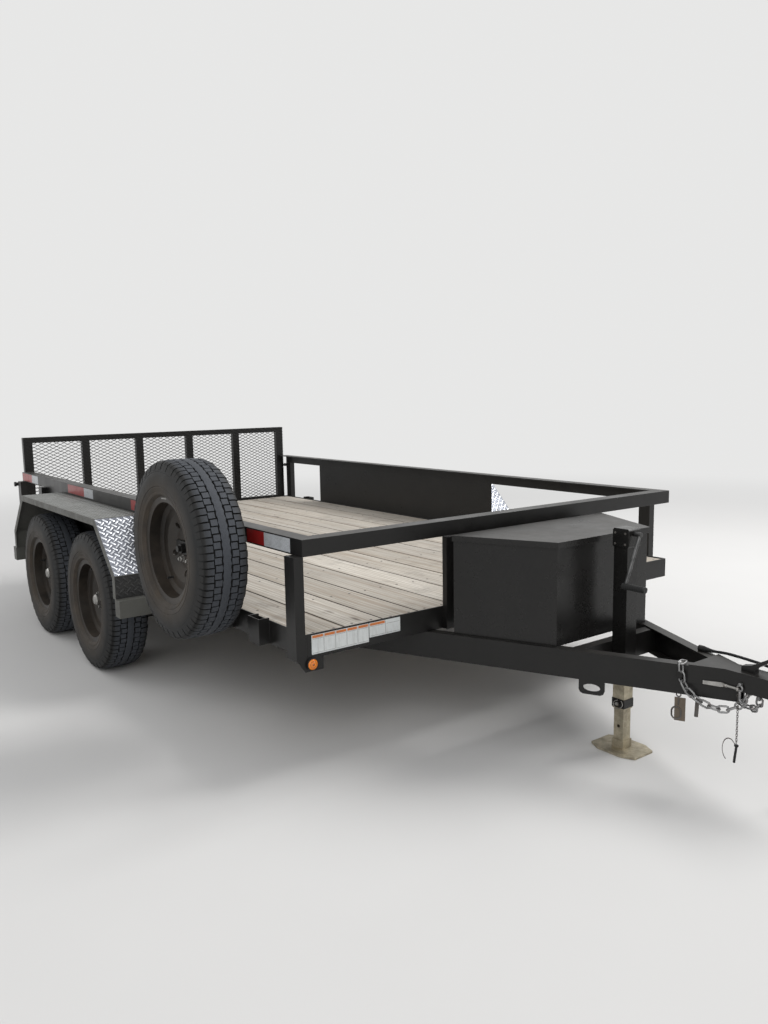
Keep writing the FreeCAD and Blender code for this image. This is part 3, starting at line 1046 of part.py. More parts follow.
def cable_path(points):
    """Straight runs joined by tangent arcs as large as the runs allow."""
    edges, start = [], points[0]
    for before, corner, after in zip(points, points[1:], points[2:]):
        back, ahead = before - corner, after - corner
        reach = 0.45 * min(back.Length, ahead.Length)
        turn = pi - back.getAngle(ahead)
        back.normalize()
        ahead.normalize()
        first, last = corner + back * reach, corner + ahead * reach
        radius = reach / tan(turn / 2)
        print(f"bend {radius:.0f} mm")
        centre = corner + (back + ahead).normalize() * (radius / cos(turn / 2))
        middle = centre + (corner - centre).normalize() * radius
        edges += [Part.LineSegment(start, first).toShape(), Part.Arc(first, middle, last).toShape()]
        start = last
    edges.append(Part.LineSegment(start, points[-1]).toShape())
    return Part.Wire(edges)


def wiring():
    """Cable from its clip on the left beam over the coupler's side, with its plug hanging."""
    route = [Vector(x - s.tongue_reach, y, z - s.ball_height) for x, y, z in CABLE]
    path = cable_path(route)
    ring = Part.Wire(Part.makeCircle(s.cable_radius, route[0], route[1] - route[0]))
    tube = path.makePipeShell([ring], True, True)
    print(f"cable {path.Length:.0f} mm, volume share {tube.Volume / (pi * s.cable_radius ** 2 * path.Length):.4f}")
    cable = doc.addObject("Part::Feature", "Cable")
    cable.Shape = tube
    node("wiring_cable", cable)
    x, y, z = CABLE[-1]
    centre = (f"{x} - tongue_reach", f"{y}")
    grip = rod("PlugGrip", "plug_radius - 5", "34", (*centre, f"{z} - 34 - ball_height"))
    shell = rod("PlugShell", "plug_radius", "plug_length - 30", (*centre, f"{z} - plug_length - ball_height"))
    node("wiring_plug", fuse("Plug", grip, shell))


for build in (lower_frame, crossmembers, deck_boards, upper_rails, side_panels, fenders, toolbox, tongue, coupler,
              jack, axles, springs, hangers, wheels, spare_wheel, ramp_gate, lamps, safety_chains, wiring):
    build()

doc.recompute()

broken = [thing.Label for thing in doc.Objects if {"Invalid", "Error"} & set(thing.State)]
assert not broken, f"features that failed: {broken}"
os.makedirs("parts", exist_ok=True)
for thing in NODES:
    assert not thing.Shape.isNull() and thing.Shape.isValid(), thing.Label
    thing.Shape.exportStep(f"parts/{thing.Label}.step")
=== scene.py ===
"""Finishes for a tandem-axle utility trailer: paint, timber, rubber, tape, chain and small fittings."""

import logging
import math
from dataclasses import dataclass
from enum import Enum

import bmesh
import bpy
from mathutils import Matrix, Vector

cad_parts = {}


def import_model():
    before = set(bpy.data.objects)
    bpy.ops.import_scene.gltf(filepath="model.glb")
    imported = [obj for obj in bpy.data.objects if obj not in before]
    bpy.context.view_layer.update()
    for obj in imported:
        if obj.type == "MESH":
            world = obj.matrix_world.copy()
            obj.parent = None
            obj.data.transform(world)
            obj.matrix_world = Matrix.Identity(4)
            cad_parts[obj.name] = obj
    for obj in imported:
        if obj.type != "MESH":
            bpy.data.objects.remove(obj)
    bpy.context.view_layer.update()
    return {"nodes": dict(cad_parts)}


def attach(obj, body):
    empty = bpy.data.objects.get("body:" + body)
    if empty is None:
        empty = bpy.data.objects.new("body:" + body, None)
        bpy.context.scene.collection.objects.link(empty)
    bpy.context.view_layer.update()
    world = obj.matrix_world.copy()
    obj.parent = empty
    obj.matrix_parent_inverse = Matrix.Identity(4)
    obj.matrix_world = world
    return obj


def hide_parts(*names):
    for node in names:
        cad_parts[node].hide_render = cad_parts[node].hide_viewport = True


LOG = logging.getLogger("trailer")

# Sizes of the bare trailer, in metres, from the ball centre
DECK_LENGTH = 3.658
DECK_FRONT = -1.150
DECK_REAR = DECK_FRONT - DECK_LENGTH
DECK_TOP = 0.120
GROUND = -0.385
RAIL_LOW = 0.401
RAIL_MIDDLE = 0.431
RAIL_OUT = 1.042
LAMP_Y = 1.014
LAMP_Z = 0.017
TYRE_RADIUS = 0.344
AXLES_MIDDLE = -3.280053
AXLE_SPREAD = 0.838
AXLES_X = (AXLES_MIDDLE + AXLE_SPREAD / 2, AXLES_MIDDLE - AXLE_SPREAD / 2)
AXLE_Z = -0.041
WHEEL_Y = 1.1595
SPARE = Vector((-1.730, -1.2035, 0.375))
SIDES = (("right", -1), ("left", 1))
WHEELS = tuple((f"{end}_{side}", Vector((x, sign * WHEEL_Y, AXLE_Z)), sign)
               for end, x in zip(("front", "rear"), AXLES_X) for side, sign in SIDES)
BOARD_COUNT = 12
BOARD_GAP = 0.005
BOARDS_HALF = 1.029
BOARD_PITCH = (2 * BOARDS_HALF - (BOARD_COUNT - 1) * BOARD_GAP) / BOARD_COUNT + BOARD_GAP
CROSSMEMBERS_X = tuple(DECK_FRONT - DECK_LENGTH / 8 * i for i in range(1, 8))
BEAM_TURN = math.radians(25)
QUARTER = math.pi / 2
CIRCLE = 2 * math.pi

# Kinds of value that many calls take
Triple = tuple[float, float, float] | Vector
Colour = tuple[float, float, float, float]
Outline = list[tuple[float, float]] | tuple[tuple[float, float], ...]
Socket = bpy.types.NodeSocket
Verts = list[bmesh.types.BMVert]


def turned(angle: float, about: str) -> Matrix:
    """Rotation by an angle about X, Y or Z."""
    return Matrix.Rotation(angle, 4, about)


def moved(place: Triple) -> Matrix:
    """Move from the origin to a place."""
    return Matrix.Translation(place)


def aligned(first: Vector, second: Vector, third: Vector) -> Matrix:
    """Rotation that lays X, Y and Z along three directions."""
    return Matrix((first, second, third)).transposed().to_4x4()


def hung(stops: tuple[Triple, ...], sign: int = 1) -> list[Vector]:
    """Places from millimetres ahead of the deck, out to one side and above the ground."""
    return [Vector((x + 1000 * DECK_FRONT, sign * y, z + 1000 * GROUND)) / 1000 for x, y, z in stops]


def put_in_scene(name: str, data: bpy.types.ID) -> bpy.types.Object:
    """Make an object and link it to the scene.

    Args:
        name: The object's name.
        data: Its mesh, light or camera.

    Returns:
        The object.
    """
    thing = bpy.data.objects.new(name, data)
    bpy.context.scene.collection.objects.link(thing)
    return thing


class Axis(Enum):
    """The axis that a round piece lies along."""

    X = "X"
    Y = "Y"
    Z = "Z"

    def turn(self) -> Matrix:
        """Rotation that lays a piece made along Z onto this axis.

        Returns:
            The rotation.
        """
        if self is Axis.X:
            return turned(QUARTER, "Y")
        if self is Axis.Y:
            return turned(-QUARTER, "X")
        return Matrix.Identity(4)


class Graph:
    """A node tree, with short calls that add and join its nodes."""

    def __init__(self, owner: bpy.types.Material | bpy.types.World) -> None:
        """Open the nodes of a material or a world.

        Args:
            owner: What the tree belongs to.
        """
        owner.use_nodes = True
        self.nodes = owner.node_tree.nodes
        self.links = owner.node_tree.links

    def feed(self, socket: Socket, value: object) -> None:
        """Join a socket to another, or set its value.

        Args:
            socket: The input to fill.
            value: An output socket, a number or a colour.
        """
        if isinstance(value, Socket):
            self.links.new(value, socket)
        else:
            socket.default_value = value

    def node(self, kind: str, output: str | int, values: dict, **options: str) -> Socket:
        """Add a node and fill its inputs.

        Args:
            kind: The node's type, without its prefix.
            output: The output that is wanted.
            values: What each input gets.
            options: The node's own settings.

        Returns:
            The output.
        """
        node = self.nodes.new(f"ShaderNode{kind}")
        for key, value in options.items():
            setattr(node, key, value)
        for key, value in values.items():
            self.feed(node.inputs[key], value)
        return node.outputs[output]

    def sums(self, kind: str, first: object, second: object = 0.0) -> Socket:
        """One step of arithmetic, by the operation's name."""
        return self.node("Math", "Value", {0: first, 1: second}, operation=kind)

    def seen(self) -> Socket:
        """A value of 1 for what the camera, a mirror or a glass shows, and 0 for light that falls.

        Returns:
            The value's socket.
        """
        path = self.nodes.new("ShaderNodeLightPath").outputs
        value = path["Is Camera Ray"]
        for name in ("Is Glossy Ray", "Is Transmission Ray"):
            value = self.sums("MAXIMUM", value, path[name])
        return value


class Tree(Graph):
    """A material with a Principled surface, whose patterns lie in its object's coordinates."""

    def __init__(self, name: str) -> None:
        """Start a material.

        Args:
            name: The material's name.
        """
        self.material = bpy.data.materials.new(name)
        super().__init__(self.material)
        self.surface = self.nodes["Principled BSDF"]
        self.place = self.nodes.new("ShaderNodeTexCoord").outputs["Object"]

    def stretch(self, scale: Triple, source: object = None) -> Socket:
        """Scale coordinates, or the object's own, along each axis."""
        return self.node("Mapping", "Vector", {"Scale": scale, "Vector": source or self.place})

    def noise(self, scale: float, detail: float = 4.0, rough: float = 0.55, where: object = None) -> Socket:
        """Fractal noise from 0 to 1, by waves in a metre, octaves and the strength of the fine ones."""
        return self.node("TexNoise", "Fac", {"Vector": where or self.place, "Scale": scale, "Detail": detail,
                                             "Roughness": rough})

    def cells(self, scale: float, where: object = None, feature: str = "F1") -> Socket:
        """Distance to the nearest of many scattered points, or to another feature of their cells."""
        return self.node("TexVoronoi", "Distance", {"Vector": where or self.place, "Scale": scale},
                         feature=feature)

    def times(self, first: object, second: object) -> Socket:
        """The product of two values."""
        return self.sums("MULTIPLY", first, second)

    def plus(self, first: object, second: object) -> Socket:
        """The sum of two values."""
        return self.sums("ADD", first, second)

    def reach(self, wide: object, tall: object) -> Socket:
        """The long side of a right triangle with these short sides."""
        return self.sums("SQRT", self.plus(self.sums("POWER", wide, 2.0), self.sums("POWER", tall, 2.0)))

    def span(self, source: object, low: float, high: float, start: float = 0.0, end: float = 1.0) -> Socket:
        """Map the range from low to high onto the one from start to end, held at its ends."""
        return self.node("MapRange", "Result", {"Value": source, "From Min": low, "From Max": high,
                                                "To Min": start, "To Max": end})

    def blend(self, share: object, first: object, second: object) -> Socket:
        """Mix two colours, with share as how much of the second shows."""
        return self.node("Mix", 2, {0: share, 6: first, 7: second}, data_type="RGBA")

    def parts(self, source: object = None) -> tuple[Socket, ...]:
        """Split coordinates or a direction into X, Y and Z.

        Args:
            source: What is split, or None for the object's coordinates.

        Returns:
            The three sockets.
        """
        node = self.nodes.new("ShaderNodeSeparateXYZ")
        self.feed(node.inputs[0], source or self.place)
        return tuple(node.outputs)

    def facing(self) -> tuple[Socket, ...]:
        """The surface's direction as X, Y and Z."""
        return self.parts(self.nodes.new("ShaderNodeNewGeometry").outputs["Normal"])

    def distance(self, centres: Outline) -> Socket:
        """Distance in the XZ plane to the nearest of some wheel centres.

        Args:
            centres: X and Z of each centre.

        Returns:
            The distance in metres.
        """
        x, _, z = self.parts()
        found = None
        for middle_x, middle_z in centres:
            reach = self.reach(self.sums("SUBTRACT", x, middle_x), self.sums("SUBTRACT", z, middle_z))
            found = reach if found is None else self.sums("MINIMUM", found, reach)
        return found

    def relief(self, height: object, depth: float, strength: float = 1.0) -> None:
        """Turn a height into small dents and rises of the surface.

        Args:
            height: The height, from 0 to 1.
            depth: How far 1 stands out, in metres.
            strength: How strongly it shows.
        """
        dents = self.node("Bump", "Normal", {"Height": height, "Distance": depth, "Strength": strength})
        self.feed(self.surface.inputs["Normal"], dents)

    def finish(self, colour: object, roughness: object, metallic: object = 0.0, coat: float = 0.0,
               specular: float = 0.5) -> bpy.types.Material:
        """Set the surface's main values.

        Args:
            colour: A colour or socket.
            roughness: A number or socket.
            metallic: 0 for paint and plastic, 1 for bare metal.
            coat: How much clear coat lies on top.
            specular: Strength of the plain reflection.

        Returns:
            The material.
        """
        for socket, value in (("Base Color", colour), ("Roughness", roughness), ("Metallic", metallic),
                              ("Coat Weight", coat), ("Specular IOR Level", specular)):
            self.feed(self.surface.inputs[socket], value)
        return self.material


def grey(value: float, warm: float = 0.0) -> Colour:
    """A grey of a linear value, warmer for a positive second number."""
    return (value * (1 + warm), value, value * (1 - warm), 1.0)


def dimmed(colour: tuple[float, ...], share: float) -> tuple[float, ...]:
    """A colour darkened to a share of itself."""
    return tuple(part * share for part in colour[:3]) + (1.0,)


@dataclass(frozen=True)
class Paint:
    """Black enamel with road dust and a painted sheen on its upper faces, splashes low down and a faint
    orange peel.
    """

    name: str
    tone: float = 0.0065
    gloss: float = 0.30
    # dust scales the road dust and the painted sheen on the upper faces, and the splash low down
    dust: float = 0.30
    specular: float = 0.34
    dust_and_sheen_colour: Colour = (0.105, 0.097, 0.086, 1.0)
    film: float = 0.02

    def make(self) -> bpy.types.Material:
        """Build the material.

        Returns:
            The material.
        """
        tree = Tree(self.name)
        # Upper faces lighten towards the dust colour: partly road dust, partly a painted sheen of the sky on
        # the tops
        up = tree.span(tree.facing()[2], 0.55, 1.0)
        patches = tree.span(tree.noise(3.5, 6.0, 0.62), 0.30, 0.72)
        cover = tree.times(up, tree.times(patches, self.dust))
        low = tree.span(tree.parts()[2], GROUND, 0.03, 0.55 * self.dust, 0.0)
        splash = tree.times(low, tree.span(tree.noise(14.0, 6.0, 0.7), 0.38, 0.68))
        film = tree.span(tree.noise(7.0, 6.0, 0.65), 0.36, 0.70, 0.4 * self.film, 1.6 * self.film)
        share = tree.sums("MAXIMUM", tree.sums("MAXIMUM", cover, splash), film)
        base = tree.blend(tree.noise(60.0, 5.0, 0.7), grey(self.tone * 0.8), grey(self.tone * 1.4, 0.06))
        chips = tree.span(tree.noise(26.0, 6.0, 0.7), 0.72, 0.76, 0.0, 0.35)
        base = tree.blend(chips, base, (0.050, 0.042, 0.036, 1.0))
        colour = tree.blend(share, base, self.dust_and_sheen_colour)
        rough = tree.plus(self.gloss, tree.times(share, 0.55))
        rough = tree.plus(rough, tree.span(tree.noise(9.0, 5.0, 0.65), 0.3, 0.7, -0.04, 0.08))
        tree.relief(tree.noise(22.0, 2.0), 0.0008, 0.25)
        return tree.finish(colour, rough, specular=self.specular)


@dataclass(frozen=True)
class Chequer:
    """Tread plate: bare metal or thin paint, bright on its lugs from wear and a painted sheen, and dull
    between them.
    """

    name: str
    colour: Colour
    metallic: float
    gloss: float
    wear: float

    def make(self) -> bpy.types.Material:
        """Build the material.

        Returns:
            The material.
        """
        tree = Tree(self.name)
        dirt = tree.span(tree.noise(16.0, 7.0, 0.7), 0.42, 0.72)
        fine = tree.noise(240.0, 4.0, 0.7)
        scratched = tree.span(tree.noise(1.0, 6.0, 0.7, tree.stretch((35.0, 190.0, 35.0))), 0.55, 0.75)
        colour = tree.blend(fine, dimmed(self.colour, 0.78), self.colour)
        colour = tree.blend(tree.times(dirt, self.wear), colour, (0.075, 0.070, 0.062, 1.0))
        rough = tree.plus(self.gloss, tree.times(dirt, 0.28))
        rough = tree.plus(rough, tree.times(scratched, 0.08))
        tree.relief(fine, 0.0004, 0.4)
        return tree.finish(colour, rough, metallic=self.metallic)


@dataclass(frozen=True)
class Timber:
    """Sun-bleached softwood boards that lie along the trailer, each with its own grain and tone."""

    name: str
    pitch: float
    left: float

    def make(self) -> bpy.types.Material:
        """Build the material.

        Returns:
            The material.
        """
        tree = Tree(self.name)
        x, y, z = tree.parts()
        board = tree.sums("FLOOR", tree.sums("DIVIDE", tree.sums("SUBTRACT", y, self.left), self.pitch))
        chance = tree.node("TexWhiteNoise", "Value", {"W": board}, noise_dimensions="1D")
        place = tree.node("CombineXYZ", 0, {0: tree.plus(x, tree.times(chance, 37.0)), 1: y, 2: z})
        wander = tree.noise(1.6, 3.0, 0.5, tree.stretch((1.0, 3.0, 3.0), place))
        grain = tree.noise(1.0, 8.0, 0.68, tree.stretch((2.4, 150.0, 150.0), place))
        broad = tree.noise(1.0, 5.0, 0.6, tree.stretch((1.1, 38.0, 38.0), place))
        cracks = tree.noise(1.0, 5.0, 0.7, tree.stretch((3.0, 260.0, 40.0), place))
        rings = tree.node("TexWave", "Fac", {"Vector": tree.stretch((0.22, 1.7, 1.0), place), "Scale": 9.0,
                                             "Distortion": 7.0, "Detail": 3.0, "Detail Scale": 0.6},
                          bands_direction="Y")
        knot = tree.span(tree.cells(1.0, tree.stretch((2.1, 7.5, 0.0), place)), 0.03, 0.10, 1.0, 0.0)
        pale = tree.blend(chance, (0.72, 0.68, 0.61, 1.0), (0.52, 0.48, 0.42, 1.0))
        dark = tree.blend(chance, (0.28, 0.235, 0.185, 1.0), (0.20, 0.17, 0.135, 1.0))
        colour = tree.blend(tree.span(grain, 0.26, 0.62), dark, pale)
        layers = ((tree.span(rings, 0.55, 1.0, 0.0, 0.40), (0.27, 0.205, 0.14, 1.0)),
                  (tree.span(broad, 0.48, 0.66, 0.0, 0.60), (0.285, 0.225, 0.165, 1.0)),
                  (tree.span(wander, 0.42, 0.75, 0.0, 0.40), (0.34, 0.325, 0.30, 1.0)),
                  (tree.times(knot, 0.75), (0.085, 0.058, 0.040, 1.0)),
                  (tree.span(tree.noise(6.0, 6.0, 0.7), 0.56, 0.74, 0.0, 0.40), (0.12, 0.105, 0.09, 1.0)),
                  (tree.span(cracks, 0.66, 0.72, 0.0, 0.8), (0.07, 0.05, 0.035, 1.0)))
        for share, tone in layers:
            colour = tree.blend(share, colour, tone)
        # Faces that aren't level, the boards' sides and ends, darken almost to black: painted shade in the
        # gaps between the boards
        level = tree.span(tree.sums("ABSOLUTE", tree.facing()[2]), 0.70, 0.97, 1.0, 0.0)
        colour = tree.blend(tree.times(level, 0.88), colour, (0.050, 0.040, 0.030, 1.0))
        height = tree.sums("SUBTRACT", tree.plus(grain, tree.times(broad, 0.6)), knot)
        tree.relief(height, 0.0018, 0.8)
        return tree.finish(colour, tree.span(grain, 0.2, 0.8, 0.92, 0.76), specular=0.3)


@dataclass(frozen=True)
class Rubber:
    """Tyre rubber, dusty on its tread, with painted shade in its grooves and brown on its side walls."""

    name: str
    tone: float = 0.012
    dust: float = 0.36
    centres: Outline = ()

    def make(self) -> bpy.types.Material:
        """Build the material.

        Returns:
            The material.
        """
        tree = Tree(self.name)
        grime = tree.span(tree.noise(8.0, 7.0, 0.68), 0.40, 0.74)
        fine = tree.noise(260.0, 4.0, 0.7)
        base = tree.blend(fine, grey(self.tone * 0.75, -0.08), grey(self.tone * 1.3, -0.04))
        colour = tree.blend(tree.times(grime, self.dust), base, (0.062, 0.058, 0.052, 1.0))
        if self.centres:
            reach = tree.distance(self.centres)
            near = tree.span(reach, 0.205, 0.300, 1.0, 0.0)
            stain = tree.times(near, tree.span(tree.noise(11.0, 6.0, 0.7), 0.30, 0.66, 0.35, 1.0))
            colour = tree.blend(tree.times(stain, 0.62), colour, (0.088, 0.066, 0.045, 1.0))
            # A near-black band at the groove floors is painted shade in the grooves
            sunk = tree.span(reach, 0.3350, 0.3385, 1.0, 0.0)
            groove = tree.times(tree.span(reach, 0.3285, 0.3310), sunk)
            colour = tree.blend(tree.times(groove, 0.85), colour, grey(0.003))
            worn = tree.span(reach, 0.3385, 0.3428, 0.0, 0.85)
            patch = tree.times(worn, tree.span(fine, 0.2, 0.65, 0.35, 1.0))
            colour = tree.blend(patch, colour, (0.066, 0.073, 0.086, 1.0))
        tree.relief(fine, 0.0005, 0.5)
        return tree.finish(colour, tree.span(grime, 0.0, 1.0, 0.62, 0.88), specular=0.35)


@dataclass(frozen=True)
class Metal:
    """Plated or bare steel with patches of dullness and a little rust."""

    name: str
    colour: Colour
    rust: float = 0.15
    gloss: float = 0.32

    def make(self) -> bpy.types.Material:
        """Build the material.

        Returns:
            The material.
        """
        tree = Tree(self.name)
        patches = tree.noise(28.0, 6.0, 0.66)
        spots = tree.span(tree.noise(75.0, 5.0, 0.7), 0.54, 0.74)
        colour = tree.blend(tree.span(patches, 0.35, 0.7), self.colour, dimmed(self.colour, 0.5))
        colour = tree.blend(tree.times(spots, self.rust), colour, (0.16, 0.065, 0.025, 1.0))
        tree.relief(patches, 0.0004, 0.4)
        rough = tree.plus(self.gloss, tree.times(patches, 0.3))
        return tree.finish(colour, rough, metallic=0.85)


@dataclass(frozen=True)
class Parted:
    """One solid with two finishes: bare steel beyond a plane, and dark paint or rust before it."""

    name: str
    axis: Axis
    border: float
    beyond: Colour
    before: Colour
    mirrored: bool = False

    def make(self) -> bpy.types.Material:
        """Build the material.

        Returns:
            The material.
        """
        tree = Tree(self.name)
        place = dict(zip(Axis, tree.parts()))[self.axis]
        if self.mirrored:
            place = tree.sums("ABSOLUTE", place)
        share = tree.span(place, self.border - 0.0005, self.border + 0.0005)
        patches = tree.noise(32.0, 6.0, 0.68)
        wear = tree.span(patches, 0.38, 0.68)
        beyond = tree.blend(wear, self.beyond, dimmed(self.beyond, 0.45))
        before = tree.blend(wear, self.before, dimmed(self.before, 0.55))
        colour = tree.blend(share, before, beyond)
        rough = tree.plus(tree.times(patches, 0.35), tree.span(share, 0.0, 1.0, 0.42, 0.22))
        tree.relief(patches, 0.0005, 0.5)
        return tree.finish(colour, rough, metallic=tree.times(share, 0.85))


@dataclass(frozen=True)
class Lens:
    """Moulded lamp lens: a deep clear colour over rings, with a dark middle."""

    name: str
    colour: Colour
    middle_y: float
    middle_z: float
    rings: float = 520.0

    def make(self) -> bpy.types.Material:
        """Build the material.

        Returns:
            The material.
        """
        tree = Tree(self.name)
        _, y, z = tree.parts()
        wide = tree.sums("SUBTRACT", tree.sums("ABSOLUTE", y), self.middle_y)
        reach = tree.reach(wide, tree.sums("SUBTRACT", z, self.middle_z))
        waves = tree.sums("SINE", tree.times(reach, CIRCLE * self.rings))
        tree.relief(tree.span(waves, -1.0, 1.0), 0.0009, 0.7)
        tree.surface.inputs["Subsurface Weight"].default_value = 0.2
        tree.surface.inputs["Subsurface Scale"].default_value = 0.008
        haze = tree.span(tree.noise(120.0, 4.0), 0.45, 0.7)
        colour = tree.blend(tree.times(haze, 0.5), self.colour, dimmed(self.colour, 0.6))
        dark = tree.span(reach, 0.0026, 0.0052, 0.85, 0.0)
        colour = tree.blend(dark, colour, dimmed(self.colour, 0.12))
        ring = tree.times(tree.span(reach, 0.0105, 0.0115), tree.span(reach, 0.0128, 0.0138, 1.0, 0.0))
        colour = tree.blend(tree.times(ring, 0.55), colour, dimmed(self.colour, 0.35))
        return tree.finish(colour, tree.span(haze, 0.0, 1.0, 0.16, 0.32), coat=0.5)


@dataclass(frozen=True)
class Tape:
    """Reflective tape: small cells under a clear film, slightly scuffed."""

    name: str
    colour: Colour

    def make(self) -> bpy.types.Material:
        """Build the material.

        Returns:
            The material.
        """
        tree = Tree(self.name)
        cell = tree.span(tree.cells(260.0, None, "DISTANCE_TO_EDGE"), 0.0, 0.12)
        scuffs = tree.span(tree.noise(30.0, 7.0, 0.75), 0.52, 0.72)
        colour = tree.blend(cell, dimmed(self.colour, 0.6), self.colour)
        colour = tree.blend(tree.times(scuffs, 0.4), colour, (0.11, 0.10, 0.09, 1.0))
        return tree.finish(colour, tree.span(scuffs, 0.0, 1.0, 0.30, 0.6), coat=0.2, specular=0.35)


@dataclass(frozen=True)
class Plate:
    """A bare sheet sign: faded vinyl with grime from its edges."""

    name: str
    colour: Colour

    def make(self) -> bpy.types.Material:
        """Build the material.

        Returns:
            The material.
        """
        tree = Tree(self.name)
        grime = tree.span(tree.noise(22.0, 7.0, 0.72), 0.45, 0.75)
        streak = tree.span(tree.noise(1.0, 5.0, 0.7, tree.stretch((90.0, 90.0, 12.0))), 0.50, 0.72)
        colour = tree.blend(tree.times(grime, 0.55), self.colour, dimmed(self.colour, 0.7))
        colour = tree.blend(tree.times(streak, 0.30), colour, (0.24, 0.22, 0.19, 1.0))
        tree.relief(tree.noise(35.0, 3.0), 0.0004, 0.3)
        return tree.finish(colour, tree.span(grime, 0.0, 1.0, 0.38, 0.6), specular=0.35)


class Finish(Enum):
    """Each finish that the trailer's pieces take."""

    BLACK = Paint("black_enamel")
    BOX_SIDE = Paint("toolbox_enamel", 0.0085, 0.24, 0.42)
    JACK_BLACK = Paint("jack_enamel", 0.0055, 0.22, 0.22)
    GEAR = Paint("running_gear_enamel", 0.010, 0.52, 0.95)
    MESH = Paint("mesh_enamel", 0.006, 0.42, 0.2)
    RIM = Paint("rim_enamel", 0.0070, 0.30, 0.55, dust_and_sheen_colour=(0.088, 0.066, 0.046, 1.0), film=0.24)
    # The grey fender and its lighter top lugs stand for black paint: a painted sheen of the sky, with wear on
    # the lugs
    FENDER = Chequer("fender_enamel", (0.088, 0.088, 0.078, 1.0), 0.05, 0.44, 0.30)
    CHEQUER = Chequer("tread_lug_enamel", (0.245, 0.250, 0.240, 1.0), 0.20, 0.40, 0.30)
    # Silver lugs and a bluish sheet on the front slopes: a painted reflection of the sky on black paint
    GUARD = Chequer("sky_glare_lugs", (0.80, 0.82, 0.86, 1.0), 0.80, 0.24, 0.12)
    SHEET = Chequer("sky_glare_sheet", (0.285, 0.300, 0.345, 1.0), 0.75, 0.34, 0.20)
    SKIRT = Chequer("shaded_lugs", (0.020, 0.020, 0.020, 1.0), 0.0, 0.46, 0.25)
    RUBBER = Rubber("worn_rubber", centres=tuple((x, AXLE_Z) for x in AXLES_X))
    SPARE_RUBBER = Rubber("spare_rubber", centres=((SPARE.x, SPARE.z),))
    JACKET = Rubber("cable_rubber", 0.008, 0.15)
    STEEL = Metal("nut_steel", (0.46, 0.45, 0.43, 1.0), 0.3, 0.30)
    ZINC = Metal("gold_zinc", (0.52, 0.465, 0.35, 1.0), 0.22, 0.36)
    CHAIN = Metal("chain_metal", (0.33, 0.33, 0.33, 1.0), 0.40, 0.34)
    OLD_STEEL = Metal("weathered_steel", (0.16, 0.15, 0.14, 1.0), 0.5, 0.45)
    HUBS = Parted("hub_metal", Axis.Y, 1.1612, (0.42, 0.41, 0.39, 1.0), (0.045, 0.036, 0.030, 1.0), True)
    CRANK = Parted("crank_metal", Axis.Z, 0.2700, (0.10, 0.10, 0.10, 1.0), (0.010, 0.010, 0.010, 1.0))
    AMBER = Lens("amber_plastic", (0.86, 0.235, 0.012, 1.0), LAMP_Y, LAMP_Z)
    RED = Lens("red_plastic", (0.42, 0.012, 0.010, 1.0), LAMP_Y, LAMP_Z)
    TAPE_RED = Tape("red_tape", (0.33, 0.016, 0.016, 1.0))
    TAPE_WHITE = Tape("white_tape", (0.50, 0.52, 0.54, 1.0))
    SIGN_WHITE = Plate("bare_sign", (0.62, 0.64, 0.63, 1.0))
    SIGN_ORANGE = Plate("sign_header", (0.56, 0.17, 0.045, 1.0))
    SIGN_LINE = Plate("sign_lines", (0.13, 0.13, 0.13, 1.0))
    TAG = Plate("brown_tag", (0.12, 0.095, 0.07, 1.0))
    BOARDS = Timber("deck_timber", BOARD_PITCH, -BOARDS_HALF - BOARD_GAP / 2)

    @property
    def material(self) -> bpy.types.Material:
        """The finish's material, made on its first use."""
        found = bpy.data.materials.get(self.value.name)
        return found or self.value.make()


